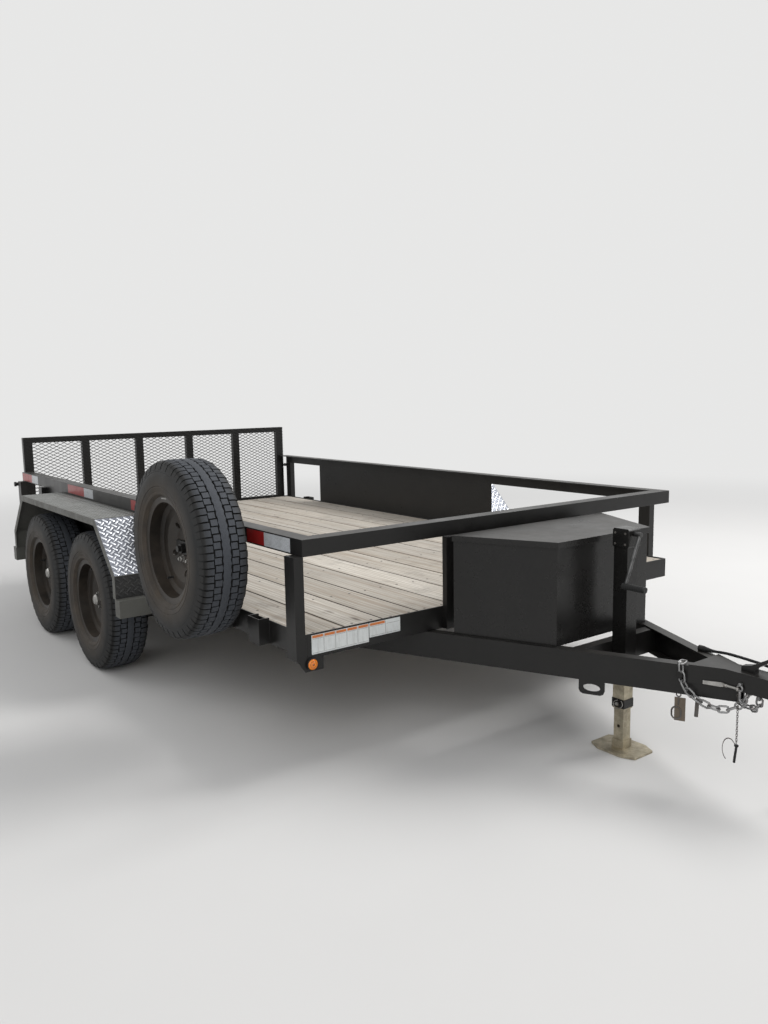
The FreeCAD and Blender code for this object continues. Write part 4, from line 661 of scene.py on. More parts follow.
class Shape:
    """A mesh that grows by solids and is then handed to the trailer as one piece."""

    def __init__(self) -> None:
        """Start with nothing."""
        self.mesh = bmesh.new()

    def block(self, size: Triple, centre: Triple, edge: float = 0.0, turn: Matrix | None = None) -> None:
        """Add a box with rounded edges.

        Args:
            size: Lengths along X, Y and Z before turning.
            centre: Middle of the box.
            edge: Width of the rounding, or 0 for none.
            turn: Rotation about the centre.
        """
        place = moved(centre) @ (turn or Matrix.Identity(4)) @ Matrix.Diagonal((*size, 1.0))
        verts = bmesh.ops.create_cube(self.mesh, size=1.0, matrix=place)["verts"]
        self.soften(verts, edge)

    def rod(self, radius: float, length: float, centre: Triple, axis: Axis = Axis.Z,
            sides: int = 20, edge: float = 0.0, tip: float | None = None, turn: Matrix | None = None) -> None:
        """Add a round bar or a cone.

        Args:
            radius: Radius at its lower end.
            length: Length along its axis.
            centre: Middle of the bar.
            axis: Which way it lies.
            sides: Faces round it.
            edge: Width of the rounding at its ends, or 0 for none.
            tip: Radius at its upper end, or None for the same.
            turn: A last rotation about the centre.
        """
        place = moved(centre) @ (turn or Matrix.Identity(4)) @ axis.turn()
        upper = radius if tip is None else tip
        made = bmesh.ops.create_cone(self.mesh, cap_ends=True, segments=sides, radius1=radius, radius2=upper,
                                     depth=length, matrix=place)
        self.soften(made["verts"], edge, math.radians(50))

    def soften(self, verts: Verts, edge: float, angle: float = 0.1) -> None:
        """Round the edges between faces that meet at an angle.

        Args:
            verts: The solid's vertices.
            edge: Width of the rounding, or 0 for none.
            angle: The least angle that is rounded.
        """
        if edge > 0:
            near = {e for v in verts for e in v.link_edges if len(e.link_faces) == 2}
            edges = [e for e in near if e.calc_face_angle() > angle]
            bmesh.ops.bevel(self.mesh, geom=edges, offset=edge, affect="EDGES", segments=1, profile=0.5,
                            material=-1)

    def spun(self, profile: Outline, centre: Triple, axis: Axis, steps: int) -> None:
        """Add a turned solid.

        Args:
            profile: Closed outline as distance along the axis and radius.
            centre: Where the profile's zero lies.
            axis: Which way the solid's axis points.
            steps: Faces round it.
        """
        part = bmesh.new()
        verts = [part.verts.new((radius, 0.0, along)) for along, radius in profile]
        edges = [part.edges.new((a, b)) for a, b in zip(verts, verts[1:] + verts[:1])]
        bmesh.ops.spin(part, geom=verts + edges, cent=(0, 0, 0), axis=(0, 0, 1), angle=CIRCLE, steps=steps,
                       use_merge=True)
        bmesh.ops.remove_doubles(part, verts=part.verts, dist=1e-6)
        bmesh.ops.recalc_face_normals(part, faces=part.faces)
        bmesh.ops.transform(part, matrix=moved(centre) @ axis.turn(), verts=part.verts)
        self.take(part)

    def ring(self, bend: float, wire: float, place: Matrix, steps: int = 16, sides: int = 8,
             pull: float = 0.0, sweep: float = CIRCLE) -> None:
        """Add a ring or hook of round wire that lies in its own XY plane.

        Args:
            bend: Radius of the wire's middle line.
            wire: Radius of the wire.
            place: Where it goes.
            steps: Faces along a full turn.
            sides: Faces round the wire.
            pull: How far each half moves outwards along X, for an oval link.
            sweep: How much of the turn is made.
        """
        part = bmesh.new()
        full = sweep == CIRCLE
        start = turned(math.pi / steps, "Z") if full else Matrix.Identity(4)
        lay = start @ moved((0, bend, 0)) @ turned(QUARTER, "Y")
        made = bmesh.ops.create_circle(part, cap_ends=not full, segments=sides, radius=wire, matrix=lay)
        circle = made["verts"]
        edges = list({edge for vert in circle for edge in vert.link_edges})
        faces = list({face for vert in circle for face in vert.link_faces})
        bmesh.ops.spin(part, geom=circle + edges + faces, cent=(0, 0, 0), axis=(0, 0, 1), angle=sweep,
                       steps=max(3, round(steps * sweep / CIRCLE)), use_merge=full)
        for vert in part.verts:
            vert.co.x += math.copysign(pull, vert.co.x)
        bmesh.ops.recalc_face_normals(part, faces=part.faces)
        bmesh.ops.transform(part, matrix=place, verts=part.verts)
        self.take(part)

    def drawn(self, outline: Outline, depth: float, place: Matrix) -> None:
        """Add a plate of any outline, drawn in its own XY plane and thickened along Z.

        Args:
            outline: Corners in order.
            depth: Thickness, half to each side.
            place: Where it goes.
        """
        part = bmesh.new()
        face = part.faces.new([part.verts.new((x, y, -depth / 2)) for x, y in outline])
        grown = bmesh.ops.extrude_face_region(part, geom=[face])["geom"]
        lifted = [item for item in grown if isinstance(item, bmesh.types.BMVert)]
        bmesh.ops.translate(part, vec=(0, 0, depth), verts=lifted)
        bmesh.ops.recalc_face_normals(part, faces=part.faces)
        bmesh.ops.transform(part, matrix=place, verts=part.verts)
        self.take(part)

    def take(self, part: bmesh.types.BMesh) -> None:
        """Join another mesh to this one, and free it.

        Args:
            part: The other mesh.
        """
        loose = bpy.data.meshes.new("loose")
        part.to_mesh(loose)
        part.free()
        self.mesh.from_mesh(loose)
        bpy.data.meshes.remove(loose)

    def piece(self, name: str, finish: Finish, slot: str, body: str = "chassis",
              smooth: float = 40.0) -> bpy.types.Object:
        """Make the piece and let it ride on a body.

        Args:
            name: The piece's name.
            finish: What it is made of.
            slot: Not used.
            body: The body that it moves with.
            smooth: Edges sharper than this many degrees stay sharp.

        Returns:
            The new object.
        """
        data = bpy.data.meshes.new(name)
        bmesh.ops.recalc_face_normals(self.mesh, faces=self.mesh.faces)
        self.mesh.to_mesh(data)
        self.mesh.free()
        return hand_over(data, name, finish, body, smooth)


def hand_over(data: bpy.types.Mesh, name: str, finish: Finish, body: str,
              smooth: float) -> bpy.types.Object:
    """Turn a finished mesh into a piece that rides on a body.

    Args:
        data: The mesh.
        name: The piece's name.
        finish: What it is made of.
        body: The body that it moves with.
        smooth: Edges sharper than this many degrees stay sharp.

    Returns:
        The new object.
    """
    data.polygons.foreach_set("use_smooth", [True] * len(data.polygons))
    data.set_sharp_from_angle(angle=math.radians(smooth))
    data.materials.append(finish.material)
    thing = put_in_scene(name, data)
    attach(thing, body)
    LOG.info("%s rides on %s: %d faces", name, body, len(data.polygons))
    return thing


@dataclass
class Studio:
    """Camera, lights, floor and backdrop."""

    eye: Triple = (1.304679, -2.515640, 0.950533)
    azimuth: float = 0.930387499
    elevation: float = 0.138835705
    roll: float = -0.0172969335
    focal: float = 846.524459
    pale: Colour = (0.80, 0.80, 0.795, 1.0)
    ambient: float = 0.58
    image_height: int = 1024
    sensor: float = 36.0
    middle: Triple = (-2.4, 0.0, 0.2)
    floor_size: float = 90.0
    fade_start: float = 3.2
    fade_end: float = 10.5

    def build(self) -> None:
        """Set up everything that isn't the trailer."""
        self.camera()
        self.world()
        self.lamps()
        self.floor()

    def camera(self) -> None:
        """Stand the camera where the photograph was taken."""
        ahead = Vector((-math.sin(self.azimuth) * math.cos(self.elevation),
                        math.cos(self.azimuth) * math.cos(self.elevation), -math.sin(self.elevation)))
        right = ahead.cross(Vector((0, 0, 1))).normalized()
        up = right.cross(ahead)
        c, s = math.cos(self.roll), math.sin(self.roll)
        side, top = c * right + s * up, c * up - s * right
        data = bpy.data.cameras.new("camera")
        data.sensor_fit = "AUTO"
        data.sensor_width = self.sensor
        data.lens = self.focal / self.image_height * self.sensor
        data.clip_start, data.clip_end = 0.05, 200.0
        camera = put_in_scene("camera", data)
        camera.matrix_world = aligned(side, top, -ahead)
        camera.location = self.eye
        bpy.context.scene.camera = camera

    def world(self) -> None:
        """Even light from all round, in front of a pale backdrop."""
        world = bpy.data.worlds.new("studio")
        bpy.context.scene.world = world
        tree = Graph(world)
        light = tree.nodes["Background"]
        light.inputs["Color"].default_value = (0.95, 0.97, 1.0, 1.0)
        light.inputs["Strength"].default_value = self.ambient
        backdrop = tree.node("Background", "Background", {"Color": self.pale})
        mixed = tree.node("MixShader", "Shader", {"Fac": tree.seen(), 1: light.outputs["Background"],
                                                  2: backdrop})
        tree.feed(tree.nodes["World Output"].inputs["Surface"], mixed)

    def lamps(self) -> None:
        """Large soft lamps: the main one high on the far side, two weaker ones on the near side."""
        for name, place, size, power in (("main", (-0.8, 4.8, 6.6), 4.2, 520.0),
                                         ("front", (4.2, -5.2, 4.6), 5.5, 210.0),
                                         ("rear", (-8.0, -4.5, 5.4), 6.0, 120.0)):
            data = bpy.data.lights.new(name, "AREA")
            data.size, data.energy = size, power
            lamp = put_in_scene(name, data)
            lamp.location = place
            lamp.rotation_euler = (Vector(self.middle) - Vector(place)).to_track_quat("-Z", "Y").to_euler()

    def floor(self) -> None:
        """A plain pale floor that fades into the backdrop far from the trailer."""
        mesh = bmesh.new()
        bmesh.ops.create_grid(mesh, x_segments=1, y_segments=1, size=self.floor_size,
                              matrix=moved((self.middle[0], 0, GROUND - 0.0005)))
        data = bpy.data.meshes.new("floor")
        mesh.to_mesh(data)
        mesh.free()
        tree = Tree("pale_floor")
        tree.finish(tree.blend(tree.noise(1.5, 3.0), (0.62, 0.61, 0.595, 1.0), (0.65, 0.64, 0.625, 1.0)), 0.9,
                    specular=0.1)
        x, y, _ = tree.parts()
        reach = tree.reach(tree.sums("SUBTRACT", x, self.middle[0]), y)
        fade = tree.node("MapRange", "Result", {"Value": reach, "From Min": self.fade_start,
                                                "From Max": self.fade_end}, interpolation_type="SMOOTHSTEP")
        glow = tree.node("Emission", "Emission", {"Color": self.pale})
        mixed = tree.node("MixShader", "Shader", {"Fac": tree.times(fade, tree.seen()),
                                                  1: tree.surface.outputs["BSDF"], 2: glow})
        tree.feed(tree.nodes["Material Output"].inputs["Surface"], mixed)
        data.materials.append(tree.material)
        floor = put_in_scene("floor", data)


@dataclass
class Wiring:
    """The cable to the towing vehicle, its clip sleeve and its plug."""

    radius: float = 0.005
    length: float = 0.548

    def build(self) -> None:
        """Lay the cable along its route and hang its plug."""
        points = hung(((818, 92, 430), (856, 92, 430), (904, 86, 437), (960, 74, 440), (1020, 65, 440),
                       (1078, 64, 436), (1122, 67, 422), (1150, 73, 393), (1163, 79, 349), (1168, 83, 297),
                       (1170, 85, 246), (1170, 85, 196)))
        curve = bpy.data.curves.new("wiring_flex", "CURVE")
        curve.dimensions = "3D"
        spline = curve.splines.new("NURBS")
        spline.points.add(len(points) - 1)
        for spot, point in zip(spline.points, points):
            spot.co = (*point, 1.0)
        spline.order_u = 3
        spline.use_endpoint_u = True
        curve.resolution_u = 8
        curve.bevel_depth = self.radius
        curve.bevel_resolution = 4
        curve.use_fill_caps = True
        curve.materials.append(Finish.JACKET.material)
        flex = put_in_scene("wiring_flex", curve)
        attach(flex, "chassis")
        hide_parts("wiring_cable")
        head = self.plug(points[-1])
        sleeve = self.relief(points[0])

    def relief(self, start: Vector) -> bpy.types.Object:
        """Tapered, grooved sleeve where the cable leaves its clip on the beam.

        Args:
            start: The cable's first point.

        Returns:
            The sleeve.
        """
        shape = Shape()
        inner = self.radius + 0.0002
        outline = [(0.0, inner), (0.0, 0.0098), (0.006, 0.0098)]
        for i in range(5):
            along, reach = 0.008 + 0.0052 * i, 0.0092 - 0.0007 * i
            outline += [(along, reach - 0.0013), (along + 0.0014, reach - 0.0013), (along + 0.0016, reach),
                        (along + 0.0044, reach - 0.0005)]
        outline += [(0.0360, 0.0056), (0.0360, inner)]
        shape.spun(outline, start, Axis.X, 20)
        return shape.piece("cable_sleeve", Finish.JACKET, "cable_jacket")

    def plug(self, end: Vector) -> bpy.types.Object:
        """Round plug with ribs and recessed pins at the cable's end.

        Args:
            end: The cable's last point.

        Returns:
            The plug.
        """
        shell, pins, ribs = Shape(), 7, 12
        shell.spun([(0.001, 0.0), (0.001, 0.0062), (-0.004, 0.0085), (-0.018, 0.0105), (-0.024, 0.0138),
                    (-0.030, 0.0185), (-0.034, 0.0190), (-0.070, 0.0190), (-0.078, 0.0182), (-0.078, 0.0150),
                    (-0.066, 0.0150), (-0.066, 0.0)], end, Axis.Z, 32)
        for i in range(pins):
            turn = turned(i * CIRCLE / pins, "Z")
            shell.rod(0.0018, 0.008, end + turn @ Vector((0.0095, 0, -0.069)), Axis.Z, 8)
        for i in range(ribs):
            turn = turned(i * CIRCLE / ribs, "Z")
            shell.block((0.0016, 0.0022, 0.030), end + turn @ Vector((0.0188, 0, -0.050)), 0.0004, turn)
        head = shell.piece("wiring_plug_shell", Finish.JACKET, "plug_plastic")
        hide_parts("wiring_plug")
        return head


@dataclass
class Tyres:
    """Radial trailer tyres with a smooth centre rib, notched block rows and slit shoulders."""

    pitches: int = 78
    groove: float = 0.0088
    gap: float = 0.0052
    notch: float = 0.0017

    def build(self) -> None:
        """Put a tyre on each wheel and on the spare."""
        part = self.tread()
        for tag, centre, _ in WHEELS:
            self.fit(part, f"tyre_{tag}", f"wheel_{tag}", centre, Finish.RUBBER)
        self.fit(part, "spare_tyre", "chassis", SPARE, Finish.SPARE_RUBBER)
        part.free()

    def profile(self) -> Outline:
        """Outline of the carcass across the tyre: place along the axle and radius.

        Returns:
            The outline.
        """
        low = TYRE_RADIUS - self.groove
        half = [(0.0, TYRE_RADIUS - 0.0004), (0.0135, TYRE_RADIUS - 0.0005), (0.0150, TYRE_RADIUS - 0.0009),
                (0.0152, low), (0.0205, low), (0.0500, low - 0.001), (0.0780, low - 0.004), (0.0850, 0.3262),
                (0.0900, 0.3190), (0.0935, 0.3105), (0.0965, 0.3015), (0.0958, 0.3000), (0.0985, 0.2945),
                (0.1008, 0.2800), (0.1022, 0.2640), (0.1019, 0.2480), (0.1003, 0.2470), (0.1000, 0.2440),
                (0.1012, 0.2425), (0.0990, 0.2300), (0.0968, 0.2250), (0.0978, 0.2225), (0.0962, 0.2150),
                (0.0905, 0.2110), (0.0860, 0.2080), (0.0800, 0.2050), (0.0740, 0.1912)]
        inner = [(0.0700, 0.1910), (0.0720, 0.2060), (0.0840, 0.2400), (0.0860, 0.2900), (0.0700, 0.3250),
                 (0.0, 0.3290)]
        right = half + inner
        return right + [(-along, radius) for along, radius in right[-2:0:-1]]

    def tread(self) -> bmesh.types.BMesh:
        """Make one whole tyre round the Y axis.

        Returns:
            The tyre's mesh.
        """
        steps = 2 * self.pitches
        shape = Shape()
        shape.spun(self.profile(), (0, 0, 0), Axis.Y, steps)
        for vert in shape.mesh.verts:
            reach = math.hypot(vert.co.x, vert.co.z)
            if 0.012 < abs(vert.co.y) < 0.0156 and reach > TYRE_RADIUS - 0.009:
                sector = round(math.atan2(vert.co.x, vert.co.z) / CIRCLE * steps)
                vert.co.y += self.notch * (1 if sector % 2 else -1)
        low, top = TYRE_RADIUS - self.groove - 0.001, TYRE_RADIUS - 0.0003
        row = [(0.0208, low), (0.0208, top), (0.0460, top - 0.0009), (0.0460, low)]
        edge = [(0.0508, low), (0.0508, top - 0.0012), (0.0740, top - 0.0036), (0.0858, top - 0.0110),
                (0.0930, 0.3165), (0.0946, 0.3085), (0.0925, 0.3080), (0.0840, 0.3250)]
        pitch = CIRCLE * TYRE_RADIUS / self.pitches
        self.blocks(shape, row, pitch - self.gap, self.notch, 0.0)
        self.blocks(shape, edge, pitch - self.gap * 1.15, self.notch / 2, 0.35)
        return shape.mesh

    def blocks(self, shape: Shape, outline: Outline, long: float, notch: float, shift: float) -> None:
        """Add a row of blocks on each side of the middle.

        Args:
            shape: The tyre that grows.
            outline: The block across the tyre, as place along the axle and radius.
            long: Length of a block round the tyre.
            notch: How far every other block stands aside.
            shift: How far the row is turned, in blocks.
        """
        arc = CIRCLE / self.pitches
        part = bmesh.new()
        for i in (0, 1):
            for side in (-1, 1):
                turn = turned((i + shift + 0.25 * (side > 0)) * arc, "Y")
                sway = notch * (1 if i else -1)
                verts = [part.verts.new((-long / 2, side * across + sway, high)) for across, high in outline]
                face = part.faces.new(verts)
                grown = bmesh.ops.extrude_face_region(part, geom=[face])["geom"]
                ends = [item for item in grown if isinstance(item, bmesh.types.BMVert)]
                bmesh.ops.translate(part, vec=(long, 0, 0), verts=ends)
                bmesh.ops.transform(part, matrix=turn, verts=verts + ends)
        bmesh.ops.recalc_face_normals(part, faces=part.faces)
        pairs = self.pitches // 2
        geometry = part.verts[:] + part.edges[:] + part.faces[:]
        bmesh.ops.spin(part, geom=geometry, cent=(0, 0, 0), axis=(0, 1, 0),
                       angle=CIRCLE * (pairs - 1) / pairs, steps=pairs - 1, use_duplicate=True)
        shape.take(part)

    def fit(self, part: bmesh.types.BMesh, name: str, body: str, centre: Vector, finish: Finish) -> None:
        """Put a copy of the tyre in place of a plain solid.

        Args:
            part: The tyre round the Y axis.
            name: The solid that it replaces.
            body: The body that it turns with.
            centre: The wheel's middle.
            finish: Its rubber.
        """
        data = bpy.data.meshes.new(name)
        part.to_mesh(data)
        data.transform(moved(centre) @ turned(centre.x * 3.1, "Y"))
        thing = hand_over(data, f"{name}_rubber", finish, body, 32.0)
        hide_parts(name)


@dataclass
class Wheels:
    """Valves and balance weights on each rim, and the nuts that hold the spare."""

    stud_circle: float = 0.05715
    studs: int = 5
    nutted: tuple[int, ...] = (2, 3)
    valve_reach: float = 0.1560
    weight_reach: float = 0.1985
    # Radius, length, distance outwards, sides and edge of each turned part
    stud_nut_washer: tuple[tuple, ...] = (
        (0.0060, 0.026, 0.0125, 12, 0.0008), (0.0112, 0.013, 0.0112, 6, 0.0012),
        (0.0140, 0.002, 0.0050, 20, 0.0004))
    foot_stem_cap: tuple[tuple, ...] = (
        (0.0052, 0.012, -0.010, 14, 0.001), (0.0036, 0.026, 0.0, 14, 0.0006),
        (0.0046, 0.010, 0.014, 14, 0.001))

    def build(self) -> None:
        """Fit each wheel."""
        for tag, centre, sign in WHEELS:
            self.valve(tag, f"wheel_{tag}", centre, sign, 0.9 + centre.x)
        self.valve("spare", "chassis", SPARE, -1, 2.2)
        nuts = Shape()
        for number in self.nutted:
            angle = CIRCLE * number / self.studs
            spot = SPARE + Vector((self.stud_circle * math.sin(angle), 0, self.stud_circle * math.cos(angle)))
            for radius, length, out, sides, edge in self.stud_nut_washer:
                nuts.rod(radius, length, spot - Vector((0, out, 0)), Axis.Y, sides, edge)
        nuts.piece("spare_nuts", Finish.STEEL, "hub_steel")

    def valve(self, tag: str, body: str, centre: Vector, sign: int, turn: float) -> None:
        """Add a valve stem with its cap, and a clipped weight on the rim's edge.

        Args:
            tag: Which wheel it is.
            body: The body that it turns with.
            centre: The wheel's middle.
            sign: Which side of the trailer.
            turn: Where round the rim the valve sits.
        """
        stem = Shape()
        about = turned(turn, "Y")
        spot = centre + about @ Vector((self.valve_reach, 0, 0)) + Vector((0, sign * 0.030, 0))
        for radius, length, out, sides, edge in self.foot_stem_cap:
            stem.rod(radius, length, spot + Vector((0, sign * out, 0)), Axis.Y, sides, edge)
        stem.piece(f"valve_{tag}", Finish.JACKET, "plug_plastic", body)
        weight = Shape()
        for i in range(3):
            near = turned(turn + 2.4 + 0.075 * i, "Y")
            spot = centre + near @ Vector((self.weight_reach, 0, 0)) + Vector((0, sign * 0.0800, 0))
            weight.block((0.006, 0.005, 0.0145), spot, 0.0012, near)
        weight.piece(f"wheel_weight_{tag}", Finish.STEEL, "hub_steel", body)


@dataclass
class Fenders:
    """Diamond tread on both fenders, with a painted reflection of the sky on their front slopes."""

    middle: float = AXLES_MIDDLE
    half_flat: float = 0.650
    slope: float = 0.235
    skirt: float = 0.105
    top: float = 0.395
    inner: float = 1.039
    width: float = 0.230
    pitch: float = 0.0335
    sheet: float = 0.0007
    lug: Triple = (0.0265, 0.0086, 0.0018)
    lug_turn: float = math.radians(45)
    crown: tuple[float, float] = (0.62, 0.34)
    bare_edge: float = 0.003

    def build(self) -> None:
        """Cover each fender's outer faces."""
        long = self.slope * math.sqrt(2)
        fore = self.middle + self.half_flat + self.slope
        aft = self.middle - self.half_flat - self.slope
        bend = self.top - self.slope
        level = Vector((-1, 0, 0))
        sink = Vector((0, 0, -1))
        down = Vector((1, 0, -1)).normalized()
        back = Vector((-1, 0, -1)).normalized()
        for side, sign in SIDES:
            flat, glare_lugs, dark, sheet = Shape(), Shape(), Shape(), Shape()
            across = Vector((0, sign, 0))
            edge = sign * self.inner
            for shape, x, z, along, length, under in (
                    (flat, fore - self.slope, self.top, level, 2 * self.half_flat, 0.0),
                    (flat, aft + self.slope, self.top, back, long, 0.0),
                    (flat, aft, bend, sink, self.skirt, 0.0),
                    (glare_lugs, fore - self.slope, self.top, down, long, self.sheet),
                    (dark, fore, bend, sink, self.skirt, self.sheet)):
                self.cover(shape, Vector((x, edge, z)), along, across, length, under)
            wide = self.width - self.bare_edge
            centre = edge + sign * self.width / 2
            # A near-black sheet on the front skirt, with the skirt's dark lugs: painted shade
            dark.block((self.sheet, wide, self.skirt - self.bare_edge),
                       (fore + self.sheet / 2, centre, bend - self.skirt / 2), 0.0003)
            # The bluish sheet below the front slope's silver lugs is a painted reflection of the sky
            up = across.cross(down) * sign
            middle = Vector((fore - self.slope / 2, centre, self.top - self.slope / 2))
            sheet.block((long - 0.004, wide, self.sheet), middle + up * self.sheet / 2, 0.0003,
                        aligned(down, across, up))
            sheet.piece(f"fender_sheet_{side}", Finish.SHEET, "tread_plate")
            # Grey lugs on the tops: a painted sheen of the sky, partly wear
            flat.piece(f"fender_tread_{side}", Finish.CHEQUER, "tread_plate")
            glare_lugs.piece(f"fender_sky_glare_{side}", Finish.GUARD, "tread_plate")
            dark.piece(f"fender_foot_tread_{side}", Finish.SKIRT, "tread_plate")

    def cover(self, shape: Shape, corner: Vector, along: Vector, across: Vector, length: float,
              sheet: float = 0.0) -> None:
        """Set lugs over one flat face, turned left and right by rows.

        Args:
            shape: The mesh that grows.
            corner: The face's inner corner where the first row starts.
            along: Direction that the rows follow one another.
            across: Direction across the fender.
            length: The face's length.
            sheet: Thickness of a sheet below the lugs, or 0 for none.
        """
        normal = along.cross(across)
        if normal.z < -0.1 or (abs(normal.z) < 0.1 and normal.x * (corner.x - self.middle) < 0):
            normal = -normal
        basis = aligned(along, across, normal)
        rows = int((length - 0.012) / (self.pitch / 2))
        start = (length - (rows - 1) * self.pitch / 2) / 2
        for row in range(rows):
            count = 6 if row % 2 else 7
            begin = (self.width - (count - 1) * self.pitch) / 2
            angle = self.lug_turn if row % 2 else -self.lug_turn
            lay = basis @ turned(angle, "Z") @ Matrix.Diagonal((*self.lug, 1))
            for i in range(count):
                spot = corner + along * (start + row * self.pitch / 2) + across * (begin + i * self.pitch)
                verts = bmesh.ops.create_cube(shape.mesh, size=1.0)["verts"]
                for vert in verts:
                    if vert.co.z > 0:
                        vert.co.x *= self.crown[0]
                        vert.co.y *= self.crown[1]
                    else:
                        vert.co.y *= 0.9
                place = moved(spot + normal * sheet) @ lay @ moved((0, 0, 0.45))
                bmesh.ops.transform(shape.mesh, matrix=place, verts=verts)


@dataclass
class Deck:
    """Screws that hold the boards down at each crossmember and at both ends."""

    head: float = 0.0062
    socket: float = 0.0017
    stray: float = 0.006
    across: tuple[float, float] = (0.24, 0.76)

    def build(self) -> None:
        """Set two screws in each board at each line."""
        heads = Shape()
        lines = [x + 0.025 for x in CROSSMEMBERS_X] + [DECK_FRONT - 0.030, DECK_REAR + 0.032]
        for number, x in enumerate(lines):
            for board in range(BOARD_COUNT):
                for i, place in enumerate(self.across):
                    y = -BOARDS_HALF + BOARD_PITCH * board + (BOARD_PITCH - BOARD_GAP) * place
                    stray = self.stray * math.sin(7.3 * number + 3.1 * board + 1.7 * i)
                    heads.rod(self.head, 0.0010, (x + stray, y, DECK_TOP + 0.0002), Axis.Z, 10, 0.0, 0.0048)
                    heads.rod(self.socket, 0.0003, (x + stray, y, DECK_TOP + 0.0008), Axis.Z, 6)
        heads.piece("deck_screws", Finish.OLD_STEEL, "hub_steel")


@dataclass
class Markings:
    """Reflective tape on the rails, and the bare signs on the front of the frame."""

    thick: float = 0.0006
    high: float = 0.050
    edge: float = 0.0002
    sign_top: float = 0.119
    header_high: float = 0.0095
    header_middle: float = 0.1125
    line_thick: float = 0.0003
    margin: float = 0.006
    # Each tape's colour, rear end and front end from the deck's front
    tapes: tuple[tuple[str, float, float], ...] = (
        ("red", -0.394, -0.261), ("white", -0.261, -0.075), ("red", -1.607, -1.527), ("red", -2.631, -2.335),
        ("white", -2.335, -2.181), ("red", -3.650, -3.419), ("white", -3.419, -3.274))
    # Each sign's right end, left end, lower edge, dividing lines and number of headers
    sheets: tuple[tuple[float, float, float, tuple[float, ...], int], ...] = (
        (-1.012, -0.766, 0.049, (-0.961, -0.911, -0.863, -0.815), 5), (-0.763, -0.620, 0.064, (-0.689,), 1))

    def build(self) -> None:
        """Lay the tape and the signs."""
        for colour, finish in (("red", Finish.TAPE_RED), ("white", Finish.TAPE_WHITE)):
            shape = Shape()
            for kind, start, end in self.tapes:
                if kind == colour:
                    for _, sign in SIDES:
                        y = sign * (RAIL_OUT + self.thick / 2)
                        shape.block((end - start, self.thick, self.high),
                                    ((start + end) / 2 + DECK_FRONT, y, RAIL_MIDDLE), self.edge)
            if colour == "red":
                for _, sign in SIDES:
                    centre = (DECK_REAR - self.thick / 2, sign * 0.80, 0.085)
                    shape.block((self.thick, 0.300, 0.040), centre, self.edge)
            shape.piece(f"tape_{colour}", finish, "black_paint")
        self.signs()

    def signs(self) -> None:
        """Two bare signs with plain headers and dividing lines."""
        signs, headers, lines = Shape(), Shape(), Shape()
        face = DECK_FRONT + self.thick + 0.0001
        for start, end, low, stops, headed in self.sheets:
            centre = (DECK_FRONT + self.thick / 2, (start + end) / 2, (self.sign_top + low) / 2)
            signs.block((self.thick, end - start, self.sign_top - low), centre, self.edge)
            edges = (start, *stops, end)
            columns = [(right - left, (left + right) / 2) for left, right in zip(edges, edges[1:])]
            for wide, middle in columns[:headed]:
                place = (face, middle, self.header_middle)
                headers.block((self.thick, wide - self.margin, self.header_high), place, self.edge)
            for stop in stops:
                tall = self.sign_top - low - self.margin
                lines.block((self.line_thick, 0.0012, tall), (face, stop, centre[2]))
            for wide, middle in columns:
                for height in (low + 0.005, 0.1045):
                    lines.block((self.line_thick, wide - 0.008, 0.0009), (face, middle, height))
        signs.piece("bare_signs", Finish.SIGN_WHITE, "black_paint")
        headers.piece("bare_sign_headers", Finish.SIGN_ORANGE, "black_paint")
        lines.piece("bare_sign_lines", Finish.SIGN_LINE, "black_paint")


@dataclass
class Lamps:
    """Round lamps with domed lenses in rubber rings."""

    # Half outlines from the lamp's back, as distance along the trailer and radius
    dome: Outline = (
        (0.0, 0.0), (0.0, 0.0196), (0.0085, 0.0196), (0.0108, 0.0180), (0.0122, 0.0140), (0.0127, 0.0118),
        (0.0133, 0.0112), (0.0136, 0.0060), (0.0134, 0.0040), (0.0139, 0.0030), (0.0139, 0.0))
    ring: Outline = (
        (0.0, 0.0197), (0.0, 0.0220), (0.0020, 0.0225), (0.0075, 0.0225), (0.0100, 0.0216), (0.0104, 0.0205),
        (0.0096, 0.0197))

    def build(self) -> None:
        """Replace the plain lamp solids."""
        amber, red, rubber = Shape(), Shape(), Shape()
        self.lamp(amber, rubber, Vector((DECK_FRONT, -LAMP_Y, LAMP_Z)), 1)
        for _, sign in SIDES:
            self.lamp(red, rubber, Vector((DECK_REAR, sign * LAMP_Y, LAMP_Z)), -1)
        front = amber.piece("amber_lens", Finish.AMBER, "amber_lens", smooth=60.0)
        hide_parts("marker_lamps")
        back = red.piece("red_lenses", Finish.RED, "red_lens", smooth=60.0)
        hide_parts("tail_lamps")
        rubber.piece("lamp_rings", Finish.JACKET, "plug_plastic")

    def lamp(self, lens: Shape, rubber: Shape, centre: Vector, ahead: int) -> None:
        """Add one lens and its ring, which face forwards for an ahead of 1 and back for one of -1."""
        for shape, outline in ((lens, self.dome), (rubber, self.ring)):
            shape.spun([(ahead * along, reach) for along, reach in outline], centre, Axis.X, 40)


